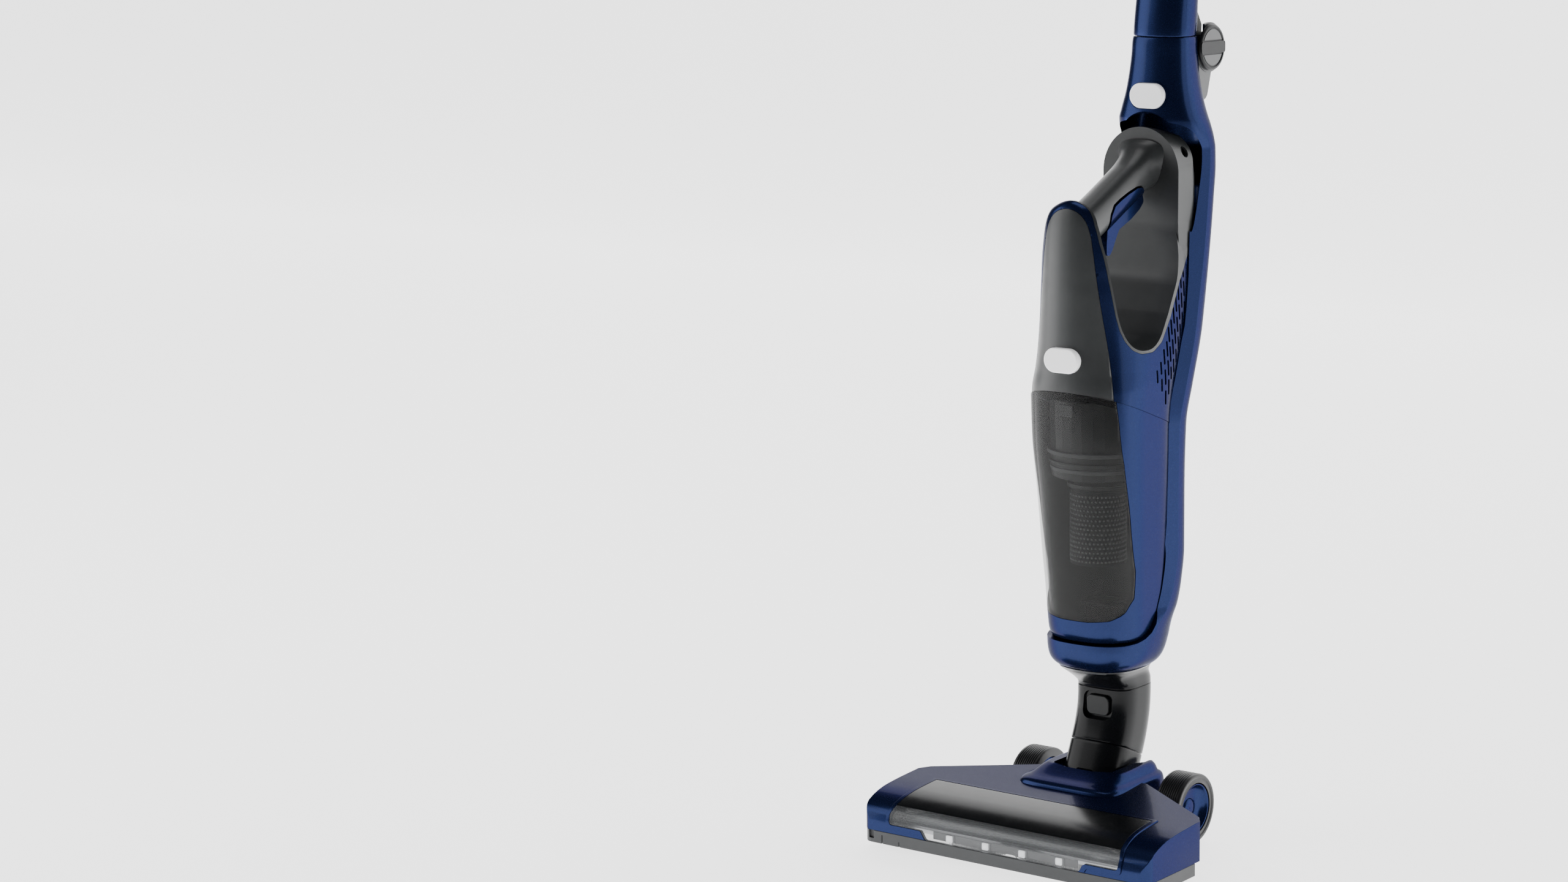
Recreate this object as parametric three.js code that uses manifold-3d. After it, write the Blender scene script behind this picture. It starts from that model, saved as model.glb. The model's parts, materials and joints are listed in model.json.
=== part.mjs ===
// Cordless 2-in-1 stick vacuum cleaner: a floor head on wheels, a jointed neck, a frame with a folding
// handle, and a hand vacuum docked in the frame. Millimetres, +Z up, front of the floor head towards -Y.
import * as THREE from "three";
import { mergeVertices } from "three/addons/utils/BufferGeometryUtils.js";
import Module from "manifold-3d";

const wasm = await Module();
wasm.setup();
const { Manifold, Mesh: SolidMesh } = wasm;

// ---------------------------------------------------------------- driving dimensions
const GAP = 0.3; // clearance between neighbouring pieces
const HEAD_W = 260; // floor head, side to side
const HEAD_BACK = 124; // back edge of the head's flat body
const BUMPER_Z = [5, 14.7]; // bumper band, bottom and top
const WALL = 2.4; // plastic wall
const BRUSH = { y: 27, z: 21.5, r: 18.2, core: 10.5, x: 100 };
const BRUSH_MOTOR = { y: 70, z: 26, r: 14, pulley: 6 };
const WHEEL = { y: 149, r: 27.5, rim: 20.5, x0: 57, x1: 78.6 };
const PIVOT = { y: 130, z: 38, r: 18.5 }; // neck tilt axis
const NECK = { lean: 24, w: 22, d: 20, seam: 31.8, bendZ: 88, topZ: 116, y: 154 };
const CUP_LIP = 157; // top of the frame's cup at the front
const SEAM = { y: 82, z: 354, slope: -0.3718 }; // joint between the dust bin and the motor shell
const FOLD = { y: 252.5, z: 605, seamZ: 614.6, lean: 6.6 }; // handle fold axis
const TUBE = { w: 24, d: 20, y: 223, topZ: 930 };
const GRIP_TOP = 1100;

// ---------------------------------------------------------------- materials
const COLOURS = {
  blue: 0x2e4078, grey: 0x5e6062, dark: 0x2b2e31, lightgrey: 0x9a9da0, black: 0x15181b,
  bumper: 0x4d4f51, smoke: 0x6d7173, chrome: 0xd8d8d8, rubber: 0x161616, steel: 0xb0b2b5,
  bristle: 0xc8c8c8, led: 0xffffff, filter: 0x3a3d40, cell: 0x3f7f5f, board: 0x1f5a37, copper: 0xb87333,
};
const group = new THREE.Group();
group.name = "upright_vacuum_cleaner";

// ---------------------------------------------------------------- helpers
const rad = THREE.MathUtils.degToRad;
const M = () => new THREE.Matrix4();

function solid(geometry) {
  const g = geometry.clone();
  for (const name of Object.keys(g.attributes)) if (name !== "position") g.deleteAttribute(name);
  const m = mergeVertices(g, 1e-4);
  const mesh = new SolidMesh({
    numProp: 3,
    vertProperties: new Float32Array(m.attributes.position.array),
    triVerts: new Uint32Array(m.index.array),
  });
  mesh.merge();
  return new Manifold(mesh);
}
const cut = (a, ...rest) => rest.reduce((s, b) => s.subtract(b), a);
const join = (a, ...rest) => rest.reduce((s, b) => s.add(b), a);
const both = (a, b) => a.intersect(b);
const mirrored = (s) => s.mirror([1, 0, 0]);

function put(name, colour, s) {
  const parts = s.decompose().sort((a, b) => b.volume() - a.volume());
  const mesh = parts[0].simplify(0.01).getMesh();
  const g = new THREE.BufferGeometry();
  g.setAttribute("position", new THREE.BufferAttribute(new Float32Array(mesh.vertProperties), 3));
  g.setIndex(new THREE.BufferAttribute(new Uint32Array(mesh.triVerts), 1));
  const flat = g.toNonIndexed();
  flat.computeVertexNormals();
  const m = new THREE.Mesh(flat, new THREE.MeshStandardMaterial({ color: COLOURS[colour] }));
  m.name = name;
  group.add(m);
  return parts[0];
}

const box = (x0, x1, y0, y1, z0, z1) =>
  solid(new THREE.BoxGeometry(x1 - x0, y1 - y0, z1 - z0).translate((x0 + x1) / 2, (y0 + y1) / 2, (z0 + z1) / 2));
// cylinder along X
const rodX = (x0, x1, y, z, r, n = 24, r2 = r) =>
  solid(new THREE.CylinderGeometry(r, r2, x1 - x0, n).rotateZ(-Math.PI / 2).translate((x0 + x1) / 2, y, z));
// cylinder from point a along direction d (length l), radii r0 at a and r1 at the far end
function rod(a, d, l, r0, r1 = r0, n = 24) {
  const dir = new THREE.Vector3(...d).normalize();
  const g = new THREE.CylinderGeometry(r1, r0, l, n).translate(0, l / 2, 0);
  g.applyQuaternion(new THREE.Quaternion().setFromUnitVectors(new THREE.Vector3(0, 1, 0), dir));
  return solid(g.translate(...a));
}
// prism along X from a closed outline of [y, z] points
function prismX(points, x0, x1) {
  const s = new THREE.Shape(points.map(([y, z]) => new THREE.Vector2(y, z)));
  const g = new THREE.ExtrudeGeometry(s, { depth: x1 - x0, bevelEnabled: false });
  return solid(g.applyMatrix4(M().set(0, 0, 1, x0, 1, 0, 0, 0, 0, 1, 0, 0, 0, 0, 0, 1)));
}
// prism along Z from a closed outline of [x, y] points
function prismZ(points, z0, z1) {
  const s = new THREE.Shape(points.map(([x, y]) => new THREE.Vector2(x, y)));
  return solid(new THREE.ExtrudeGeometry(s, { depth: z1 - z0, bevelEnabled: false }).translate(0, 0, z0));
}
// prism along Y from a closed outline of [x, z] points
function prismY(points, y0, y1) {
  const s = new THREE.Shape(points.map(([x, z]) => new THREE.Vector2(x, -z)));
  const g = new THREE.ExtrudeGeometry(s, { depth: y1 - y0, bevelEnabled: false });
  return solid(g.applyMatrix4(M().set(1, 0, 0, 0, 0, 0, 1, y0, 0, -1, 0, 0, 0, 0, 0, 1)));
}
// rounded rectangle outline, half sizes a and b about (cx, cy)
function roundRect(cx, cy, a, b, r, n = 4) {
  const out = [];
  for (const [sx, sy, from] of [[1, -1, -90], [1, 1, 0], [-1, 1, 90], [-1, -1, 180]]) {
    for (let i = 0; i <= n; i++) {
      const t = rad(from + (90 * i) / n);
      out.push([cx + sx * (a - r) + r * Math.cos(t), cy + sy * (b - r) + r * Math.sin(t)]);
    }
  }
  return out;
}
// loft through stations {y, z, t, a, b}: centre, tilt of the section about X, half width, half depth.
// Each section is a superellipse of exponent p.
function loft(stations, { segs = 28, p = 2.5 } = {}) {
  const n = stations.length;
  const g = new THREE.CylinderGeometry(1, 1, n - 1, segs, n - 1);
  const pos = g.attributes.position;
  for (let i = 0; i < pos.count; i++) {
    const k = Math.round(pos.getY(i) + (n - 1) / 2);
    const s = stations[k];
    const r = Math.hypot(pos.getX(i), pos.getZ(i));
    const ang = Math.atan2(pos.getZ(i), pos.getX(i));
    const c = Math.cos(ang);
    const q = Math.sin(ang);
    const e = 2 / (s.p ?? p);
    const u = r * s.a * Math.sign(c) * Math.abs(c) ** e;
    const v = -r * s.b * Math.sign(q) * Math.abs(q) ** e;
    const t = rad(s.t ?? 0);
    pos.setXYZ(i, u, s.y + v * Math.cos(t), s.z - v * Math.sin(t));
  }
  return solid(g);
}
// level stations from rows [z, half width, front y, back y], inset by w
const levels = (rows, w = 0) =>
  rows.map(([z, a, y0, y1]) => ({ z, a: a - w, y: (y0 + y1) / 2, b: (y1 - y0) / 2 - w }));
// circular arc points [y, z]
function arc(cy, cz, r, a0, a1, n) {
  return Array.from({ length: n + 1 }, (_, i) => {
    const t = rad(a0 + ((a1 - a0) * i) / n);
    return [cy + r * Math.cos(t), cz + r * Math.sin(t)];
  });
}

// ---------------------------------------------------------------- floor head
const HALF = HEAD_W / 2;
// plan outline, inset by w
function plan(w = 0) {
  const r = 8;
  const a = HALF - w;
  const front = w;
  const right = [];
  for (let i = 0; i <= 4; i++) {
    const t = rad(-90 + 22.5 * i);
    right.push([a - r + r * Math.cos(t), front + r + r * Math.sin(t)]);
  }
  right.push([a, 72 - w / 2], [a - 6, 80 - w], [50 - w / 2, HEAD_BACK - w]);
  return [...right, ...right.map(([x, y]) => [-x, y]).reverse()];
}
// side profile of the cover's top, offset inward by w
function profile(w = 0, low = 15) {
  const top = [[0, 24], [1.5, 29], [5, 33], [11, 37], [20, 40.3], [32, 42.6], [50, 44.2], [80, 46], [HEAD_BACK, 49]];
  const inset = top.map(([y, z], i) => {
    const [y0, z0] = top[Math.max(0, i - 1)];
    const [y1, z1] = top[Math.min(top.length - 1, i + 1)];
    const l = Math.hypot(y1 - y0, z1 - z0);
    return [y - (w * -(z1 - z0)) / l, z - (w * (y1 - y0)) / l];
  });
  return [[inset[0][0], low], ...inset, [HEAD_BACK, low]].reverse();
}
const headBody = (w, low, high = 60) =>
  both(prismX(profile(w, low), -HALF, HALF), prismZ(plan(w), low, high));

const blockRows = [[30, 47, 77, 166], [46, 46, 80, 165], [50, 43.5, 83.5, 164], [54.5, 40, 92, 163], [58, 35, 104, 160]];
const blockOuter = loft(levels(blockRows).map((s) => ({ ...s, p: 5 })), { segs: 28 });
const blockInner = loft(
  levels([[5, 47, 80, 190], ...blockRows.slice(1, 4).map(([z, a, y0]) => [z - WALL, a, y0, 190])], WALL).map((s) => ({ ...s, p: 5 })),
  { segs: 28 },
);
const fender = (side) => {
  const ring = cut(
    rodX(44, 56.2, WHEEL.y, WHEEL.r, WHEEL.r + 4.2, 24),
    rodX(43, 57.2, WHEEL.y, WHEEL.r, WHEEL.r + 1.6, 24),
    box(40, 70, WHEEL.y - 60, WHEEL.y + 60, -10, 30),
    box(40, 70, WHEEL.y + 4, WHEEL.y + 60, -10, 80),
  );
  return side > 0 ? ring : mirrored(ring);
};
const neckSlot = join(
  rodX(-27, 27, PIVOT.y, PIVOT.z, 26, 28),
  box(-27, 27, PIVOT.y - 22, 180, 20, 80),
);
// clear front window: its outline seen from the front, and its opening in the cover
const windowOutline = (g) => [
  [-70 - g, 15.3 - g], [70 + g, 15.3 - g], [74 + g, 22 - g], [104 + g, 22 - g], [104 + g, 34], [98 + g, 47 + g],
  [-98 - g, 47 + g], [-104 - g, 34], [-104 - g, 22 - g], [-74 - g, 22 - g],
];
const windowZone = (g) => both(prismY(windowOutline(g), -6, 54 + g), box(-HALF, HALF, -6, 54 + g, 0, 60));

const coverShell = join(cut(headBody(0, 15), headBody(WALL, 10)), cut(blockOuter, headBody(0, 0, 44)), fender(1), fender(-1));
const cover = cut(
  coverShell, windowZone(GAP), neckSlot,
  both(blockInner, box(-60, 60, 60, 200, 0, 60)),
  rodX(50, 90, WHEEL.y, WHEEL.r, WHEEL.r + 1.5, 24), rodX(-90, -50, WHEEL.y, WHEEL.r, WHEEL.r + 1.5, 24),
  box(-200, 200, HEAD_BACK + 40.5, 220, -5, 70), box(-200, 200, -5, 200, -5, 15),
  rodX(-60, 60, WHEEL.y, WHEEL.r, 5.4, 24),
);
put("head_top_cover", "blue", cover);
put("brush_window", "smoke", cut(both(cut(headBody(-0.8, 15), headBody(1.4, 10)), windowZone(0)), box(-200, 200, 53.7, 60, 0, 60)));

// bumper band round the front and the ends
put("front_bumper", "bumper", cut(
  both(prismZ(plan(0.2), ...BUMPER_Z), box(-HALF, HALF, -1, 70, 0, 20)),
  prismZ(plan(3.6), 0, 20), box(-200, 200, 66, 200, 0, 20),
));

// base plate with the suction mouth, brush chamber wall and axle posts
const plate = both(prismZ(plan(3.9), BUMPER_Z[0], 8.5), box(-HALF, HALF, 0, HEAD_BACK, 0, 20));
const tail = box(-43.5, 43.5, 112, 163.5, 5, 8.5);
const chamberWall = box(-103, 103, 53.5, 56, 8, 41);
const post = (x0, x1) => join(
  box(x0, x1, WHEEL.y - 6, WHEEL.y + 6, 8, WHEEL.r), rodX(x0, x1, WHEEL.y, WHEEL.r, 6, 24),
);
const pivotPost = (x0, x1) => join(
  box(x0, x1, PIVOT.y - 7, PIVOT.y + 7, 8, PIVOT.z), rodX(x0, x1, PIVOT.y, PIVOT.z, 7, 24),
);
const bearingSeat = (x0, x1) => box(x0, x1, BRUSH.y - 9, BRUSH.y + 9, 8, BRUSH.z + 3);
const base = cut(
  join(
    plate, tail, chamberWall, post(38, 43.5), post(-43.5, -38), pivotPost(28, 33), pivotPost(-33, -28),
    bearingSeat(102.6, 108), bearingSeat(-121, -115),
    box(-96, -90, 62, 78, 8, BRUSH_MOTOR.z), box(-58, -52, 62, 78, 8, BRUSH_MOTOR.z),
    box(-6, 6, 60, 108, 8, 12),
  ),
  box(-101, 101, 9, 50.5, 0, 12), // suction mouth
  rodX(-60, 60, WHEEL.y, WHEEL.r, 4.3, 24), rodX(-60, 60, PIVOT.y, PIVOT.z, 3.8, 24),
  rodX(-125, 125, BRUSH.y, BRUSH.z, 8.3, 24),
  rodX(-100, -48, BRUSH_MOTOR.y, BRUSH_MOTOR.z, BRUSH_MOTOR.r + GAP, 24),
  rod([0, 40, 27], [0, 1, 0], 40, 13, 13, 24), // duct from the brush chamber
  rodX(-27, 27, PIVOT.y, PIVOT.z, 26, 28),
);
put("head_base", "dark", base);
put("duct_hose", "dark", cut(
  join(rod([0, 56.4, 27], [0, 1, 0], 52, 14.5, 14.5, 24)), rod([0, 40, 27], [0, 1, 0], 80, 12, 12, 24),
  rodX(-30, 30, PIVOT.y, PIVOT.z, 26, 28), box(-30, 30, 40, 140, 0, 12.3),
));
put("felt_strip", "grey", box(-100, 100, 51, 55, 0, 4.7));

// light strip: four lamps behind the window
const lamps = [-50, -16.7, 16.7, 50].map((x) => box(x - 3, x + 3, 2.2, 4.4, 15.6, 21));
put("led_strip", "led", join(box(-66, 66, 4, 5.4, 15.6, 22), ...lamps));

// brush roll
const ribbon = (phase) => {
  const g = new THREE.BoxGeometry(2 * BRUSH.x - 4, BRUSH.r - BRUSH.core - GAP, 3.2, 24, 1, 1);
  g.translate(0, (BRUSH.r + BRUSH.core + GAP) / 2, 0);
  const pos = g.attributes.position;
  for (let i = 0; i < pos.count; i++) {
    const t = rad(phase + (Math.abs(pos.getX(i)) / BRUSH.x) * 130);
    const y = pos.getY(i);
    const z = pos.getZ(i);
    pos.setXYZ(i, pos.getX(i), BRUSH.y + y * Math.cos(t) - z * Math.sin(t), BRUSH.z + y * Math.sin(t) + z * Math.cos(t));
  }
  return solid(g);
};
put("brush_core", "lightgrey", join(
  rodX(-BRUSH.x, BRUSH.x, BRUSH.y, BRUSH.z, BRUSH.core, 28),
  rodX(-120, -99, BRUSH.y, BRUSH.z, 4, 20), rodX(99, 107, BRUSH.y, BRUSH.z, 4, 20),
));
put("bristle_strip_a", "bristle", ribbon(20));
put("bristle_strip_b", "bristle", ribbon(200));
const ring = (x0, x1, y, z, r, bore, n = 24) => cut(rodX(x0, x1, y, z, r, n), rodX(x0 - 1, x1 + 1, y, z, bore, n));
put("brush_pulley", "dark", ring(-112, -104, BRUSH.y, BRUSH.z, 10, 4.3));
put("brush_bearing_left", "steel", ring(-120.7, -115.3, BRUSH.y, BRUSH.z, 8, 4.3));
put("brush_bearing_right", "steel", ring(102.9, 107.7, BRUSH.y, BRUSH.z, 8, 4.3));
put("brush_motor", "steel", rodX(-99, -50, BRUSH_MOTOR.y, BRUSH_MOTOR.z, BRUSH_MOTOR.r, 24));
put("motor_pulley", "dark", join(
  rodX(-112, -104, BRUSH_MOTOR.y, BRUSH_MOTOR.z, BRUSH_MOTOR.pulley, 24),
  rodX(-104.5, -99.3, BRUSH_MOTOR.y, BRUSH_MOTOR.z, 2.5, 16),
));
// belt: a loop outside both pulleys
function beltLoop(extra, x0, x1) {
  const d = BRUSH_MOTOR.y - BRUSH.y;
  const r1 = 10 + extra;
  const r2 = BRUSH_MOTOR.pulley + extra;
  const a = THREE.MathUtils.radToDeg(Math.acos((r1 - r2) / d));
  return prismX([...arc(BRUSH.y, BRUSH.z, r1, a, 360 - a, 14), ...arc(BRUSH_MOTOR.y, BRUSH_MOTOR.z, r2, -a, a, 10)], x0, x1);
}
put("drive_belt", "rubber", cut(beltLoop(1.7, -110.5, -105.5), beltLoop(0.35, -112, -104)));

// wheels
for (const [side, s] of [["left", -1], ["right", 1]]) {
  const flip = (q) => (s > 0 ? q : mirrored(q));
  const { y, r: wr, rim, x0, x1 } = WHEEL;
  put(`tyre_${side}`, "rubber", flip(cut(
    join(rodX(x0 + 1.5, x1 - 1.5, y, wr, wr, 24), rodX(x0, x0 + 1.5, y, wr, wr - 1.2, 32, wr - 0.1), rodX(x1 - 1.5, x1, y, wr, wr - 0.1, 32, wr - 1.2)),
    rodX(x0 - 1, x1 + 1, y, wr, rim, 24),
  )));
  put(`wheel_hub_${side}`, "blue", flip(cut(
    join(rodX(x0 + 1, x1 - 1, y, wr, rim - GAP, 24)),
    rodX(x0, x0 + 8, y, wr, rim - 3, 24), rodX(x1 - 6, x1 + 1, y, wr, 8, 32, rim - 3),
    rodX(x0 - 1, x1 - 7.5, y, wr, 4.3, 20),
  )));
  put(`wheel_axle_${side}`, "steel", flip(rodX(36, x1 - 8, y, wr, 4, 20)));
}

// ---------------------------------------------------------------- neck
const nd = [Math.sin(rad(NECK.lean)), Math.cos(rad(NECK.lean))];
const along = (l) => ({ y: PIVOT.y + nd[0] * l, z: PIVOT.z + nd[1] * l, t: NECK.lean });
const st = (l, a = NECK.w, b = NECK.d) => ({ ...along(l), a, b });
const inclined = (l0, l1, r) => rod([0, along(l0).y, along(l0).z], [0, ...nd], l1 - l0, r, r, 24);
const neckPart = { p: 4.5, segs: 28 };
const yoke = cut(
  join(
    loft([st(4), st(NECK.seam - 0.2)], neckPart), rodX(-NECK.w, NECK.w, PIVOT.y, PIVOT.z, PIVOT.r, 28),
    inclined(20, NECK.seam + 9, 16.2),
  ),
  inclined(-2, 60, 13), rod([0, PIVOT.y - 30, 27], [0, 1, 0.18], 34, 12, 12, 28),
  rodX(-40, 40, PIVOT.y, PIVOT.z, 4.3, 24),
);
put("neck_yoke", "black", yoke);
put("neck_pivot_pin_left", "steel", rodX(-33, -15, PIVOT.y, PIVOT.z, 3.5, 20));
put("neck_pivot_pin_right", "steel", rodX(15, 33, PIVOT.y, PIVOT.z, 3.5, 20));

const upper = (z, w = 0) => ({ y: NECK.y, z, t: 0, a: NECK.w - w, b: NECK.d - w });
const bend = (w) => [
  { ...st(NECK.seam + 0.2, NECK.w - w, NECK.d - w) }, { ...st(NECK.seam + 13, NECK.w - w, NECK.d - w), t: 18 },
  { y: 153, z: 84.5, t: 7, a: NECK.w - w, b: NECK.d - w },
];
const spigot = { z0: 116, z1: 131 };
const NB = { z: 102.4, w: 10, h: 7.75 }; // release button on the front of the neck
const buttonHole = (g) => prismY(roundRect(0, NB.z, NB.w + g, NB.h + g, 4 + g), 120, 139.9);
const neckTube = cut(
  join(
    loft([...bend(0), upper(90), upper(NECK.topZ)], neckPart),
    loft([{ ...upper(110, 4) }, { ...upper(spigot.z1, 4) }], neckPart),
  ),
  loft([{ ...st(NECK.seam + 9.7, 12.6, 12.6), p: 2.1 }, { ...st(NECK.seam + 16, 13.1, 13.1), t: 17, p: 2.4 }, { ...upper(95, 7), p: 3 }, { ...upper(140, 7), p: 3 }], { segs: 24 }),
  inclined(NECK.seam - 5, NECK.seam + 11.4, 16.6), buttonHole(GAP),
);
put("neck_tube", "black", neckTube);
put("neck_release_button", "dark", prismY(roundRect(0, NB.z, NB.w, NB.h, 4), 133.6, 137.8));

// ---------------------------------------------------------------- frame
const frameRows = [
  [133.6, 31, 110, 172], [137, 36, 105, 177], [143, 40, 101, 182], [149, 42, 99.5, 186], [157, 42.5, 99, 189],
  [175, 43.5, 104, 193], [197, 45, 115, 196], [224, 46, 135, 197], [268, 46, 150, 197], [320, 46, 153, 199],
  [350, 46, 160, 208], [388, 45, 173, 222], [410, 44, 181, 228], [455, 42, 190, 237], [492, 40, 194, 245],
  [517, 39, 197, 249], [535, 38, 197, 249], [548, 36, 196, 248], [560, 32, 196.5, 246.5], [571, 28.5, 198, 245.5],
  [585, 26, 199.7, 244], [FOLD.seamZ - 0.3, 24, 203, 243],
];
const frameOuter = (w = 0) => loft(levels(frameRows, w), { segs: 28 });
// everything in front of the frame's side rails
const openFront = prismX([
  [80, CUP_LIP], [104, CUP_LIP], [130, 158.5], [145, 165], [153, 178], [157, 200], [160.5, 224], [163, 268], [165, 324],
  [172, 350], [184, 382], [193, 410], [198, 433], [204, 470], [208, 503], [212, 530], [212, 565], [80, 565],
], -60, 60);
// arched window between the rails, under the shoulders
const arch = prismY([
  [-35.5, 480], [35.5, 480], ...arc(0, 515.5, 35.5, 0, 180, 18),
], 150, 214);
const cavityRows = [
  [137, 28, 116, 168], [141, 33, 109, 176], [149, 38.5, 103, 183], [157, 39.3, 102.4, 186],
  [175, 40.8, 107, 190], [197, 42, 117, 193], [224, 43, 137, 194], [268, 43, 150, 194], [320, 43, 153, 196],
  [350, 43, 160, 205], [388, 42.2, 173, 219], [410, 41.4, 181, 225], [455, 39.4, 188, 234], [492, 37.4, 192, 242],
  [517, 36.4, 193, 246], [535, 35.4, 193, 246], [548, 33.4, 195, 245], [560, 29.4, 199.5, 243.5],
  [571, 26, 201, 242.5], [585, 23.4, 202.7, 241], [620, 21.4, 206, 240],
];
const cavity = loft(levels(cavityRows), { segs: 28 });
const KNOB1 = { z: 569.6, y: 198, w: 15.5, h: 9.75 };
const stadium = (k, g) => prismY(roundRect(0, k.z, k.w + g, k.h + g, k.h + g - 0.01, 6), k.y - 8, k.y + 12);
const foldNotch = rodX(-12.3, 12.3, FOLD.y, FOLD.z, 12.4, 24);
const collarHole = loft([{ ...upper(120, 0), p: 4.5 }, { ...upper(140, 0), p: 4.5 }], { segs: 24 });
const frameShell = cut(frameOuter(), cavity, both(openFront, box(-60, 60, 60, 230, 100, 497)), both(openFront, arch),
  both(box(-34, 34, 190, 200, 480, 545), arch), stadium(KNOB1, GAP), foldNotch, rod([0, 150, 120], [0, 0, 1], 40, 17, 17));
// rear cover let into the frame's back
const backZone = (g) => prismY(roundRect(0, 360, 30 + g, 150 + g, 12), 180, 270);
put("frame_shell", "blue", cut(frameShell, both(backZone(0), cut(box(-60, 60, 160, 270, 190, 530), frameOuter(1.6)))));
put("frame_back_cover", "lightgrey", both(cut(frameOuter(), frameOuter(1.2)), both(backZone(-GAP), box(-40, 40, 185, 270, 200, 520))));
// black collar under the cup, taking the top of the neck
put("frame_collar", "black", cut(
  loft(levels([[NECK.topZ + 0.3, 22, 134, 174], [121, 23, 129, 174.3], [128, 26.5, 118, 173.5], [133.3, 30.5, 111, 171.5]]).map((s, i) => ({ ...s, p: 4.5 - 0.5 * i })), { segs: 28 }),
  loft([{ ...upper(100, 3.6) }, { ...upper(131.4, 3.6) }], neckPart), rod([0, 151, 120], [0, 0, 1], 40, 14.5, 14.5),
));
put("duct_gasket", "rubber", cut(
  rod([0, 146, 137.3], [0, -0.3, 1], 14.6, 19, 18), rod([0, 147, 134], [0, -0.3, 1], 24, 14, 14), box(-40, 40, 100, 200, 130, 137.3), box(-40, 40, 100, 200, 152.1, 160),
));
put("frame_release_button", "chrome", prismY(roundRect(0, KNOB1.z, KNOB1.w, KNOB1.h, KNOB1.h - 0.01, 6), 196.6, 203.4));
// latch tooth behind the arch that holds the docked hand vacuum
put("frame_latch", "dark", join(box(-10, 10, 232, 240, 500, 530), box(-6, 6, 221.5, 233, 520, 526)));

// fold joint: bracket on the frame, knuckle on the handle, knob on the right
const bracketHalf = cut(
  join(
    rodX(12.4, 20.4, FOLD.y, FOLD.z, 12, 24), rodX(20.3, 22.6, FOLD.y, FOLD.z, 19.4, 28),
    prismX([[236, 600], [FOLD.y + 11.6, FOLD.z - 2], [FOLD.y + 4, 588], [250, 566], [238, 562]], 12.4, 22),
  ),
  frameOuter(-GAP), box(10, 24, 210, 245.5, 600, 640), rodX(10, 24, FOLD.y, FOLD.z, 4.3, 24),
);
put("fold_bracket", "lightgrey", join(
  bracketHalf, mirrored(bracketHalf),
  cut(prismX([[243, 590], [247, 590], [252, 566], [243, 562]], -13, 13), frameOuter(-GAP), rodX(-14, 14, FOLD.y, FOLD.z, 12.4, 24)),
));
put("fold_pin", "steel", rodX(-20, 20, FOLD.y, FOLD.z, 4, 24));
const gripBar = (x0, x1) => cut(rodX(x0, x1, FOLD.y, FOLD.z, 18, 28),
  ...[1, -1].map((s) => both(rodX(x0 + 1.2, x1 + 1, FOLD.y, FOLD.z, 15, 24), box(x0, x1 + 1, FOLD.y - 20, FOLD.y + 20, FOLD.z + (s > 0 ? 4.5 : -20), FOLD.z + (s > 0 ? 20 : -4.5)))));
put("fold_knob", "dark", gripBar(22.9, 26));
put("fold_cap", "dark", mirrored(rodX(22.9, 25.2, FOLD.y, FOLD.z, 18, 28)));

// ---------------------------------------------------------------- folding handle
const lean = rad(FOLD.lean);
const tubeAt = (z) => ({ z, y: TUBE.y + (z - FOLD.seamZ) * Math.tan(lean) });
const tubeSt = (z, w = 0, k = 0) => ({ ...tubeAt(z), t: 0, a: TUBE.w - w - k, b: TUBE.d - w - k });
const tube = cut(
  loft([tubeSt(FOLD.seamZ + GAP), tubeSt(650, 0, 0.4), tubeSt(TUBE.topZ, 0, 1.5)], { segs: 28 }),
  loft([tubeSt(600, 2.6), tubeSt(650, 2.6, 0.4), tubeSt(940, 2.6, 1.5)], { segs: 28 }),
);
const strip = (g) => prismX([
  [tubeAt(640).y + 17 - g, 640 - g], [tubeAt(640).y + 26, 640 - g], [tubeAt(925).y + 26, 925 + g], [tubeAt(925).y + 17 - g, 925 + g],
], -10 - g, 10 + g);
put("handle_tube", "blue", cut(tube, strip(GAP)));
put("handle_back_strip", "grey", both(strip(0), loft([tubeSt(620, -1.4), tubeSt(650, -1.4, 0.4), tubeSt(940, -1.4, 1.5)], { segs: 28 })));
put("fold_knuckle", "dark", cut(
  join(rodX(-11.8, 11.8, FOLD.y, FOLD.z, 11.6, 24), prismX([[238, 616], [252.5, 616.6], [257, 612], [258, 622], [249, 637], [243, 637]], -11.8, 11.8)),
  rodX(-14, 14, FOLD.y, FOLD.z, 4.3, 24), loft([tubeSt(614.6, -GAP), tubeSt(650, -GAP), tubeSt(700, -GAP)], { segs: 28 }), frameOuter(-GAP),
  prismX([[200, 580], [240, 580], [240, 614.9], [200, 614.9]], -20, 20),
));
// soft grip, curving back towards the top
const gripCurve = (w) => [
  [TUBE.topZ + GAP, 21, 18, 0], [950, 20.5, 17.5, 0.5], [985, 19, 16.5, 3], [1025, 18.5, 16, 9], [1060, 19, 16, 18], [1085, 18, 15, 27], [GRIP_TOP, 13, 10.5, 33],
].map(([z, a, b, dy]) => ({ z, y: tubeAt(z).y + dy, a: a - w, b: b - w }));
const gripSolid = loft(gripCurve(0), { segs: 24 });
const gripHole = loft([{ ...gripCurve(2.5)[0], z: 925 }, ...gripCurve(2.5).slice(1, 5), { ...gripCurve(2.5)[5] }], { segs: 28 });
const SWITCH = { z: 975, w: 7, h: 13 };
const switchY = tubeAt(SWITCH.z).y + 2 - 17;
const switchPocket = (g) => prismY(roundRect(0, SWITCH.z, SWITCH.w + g, SWITCH.h + g, 6), switchY - 6, switchY + 8);
const capCut = box(-40, 40, 200, 360, 1088, 1120);
put("handle_grip", "grey", cut(gripSolid, gripHole, switchPocket(GAP + 0.2).translate([0, 0, 2]), switchPocket(GAP + 0.2).translate([0, 0, -2]), capCut));
put("grip_cap", "dark", both(gripSolid, capCut.translate([0, 0, GAP])));
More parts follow.
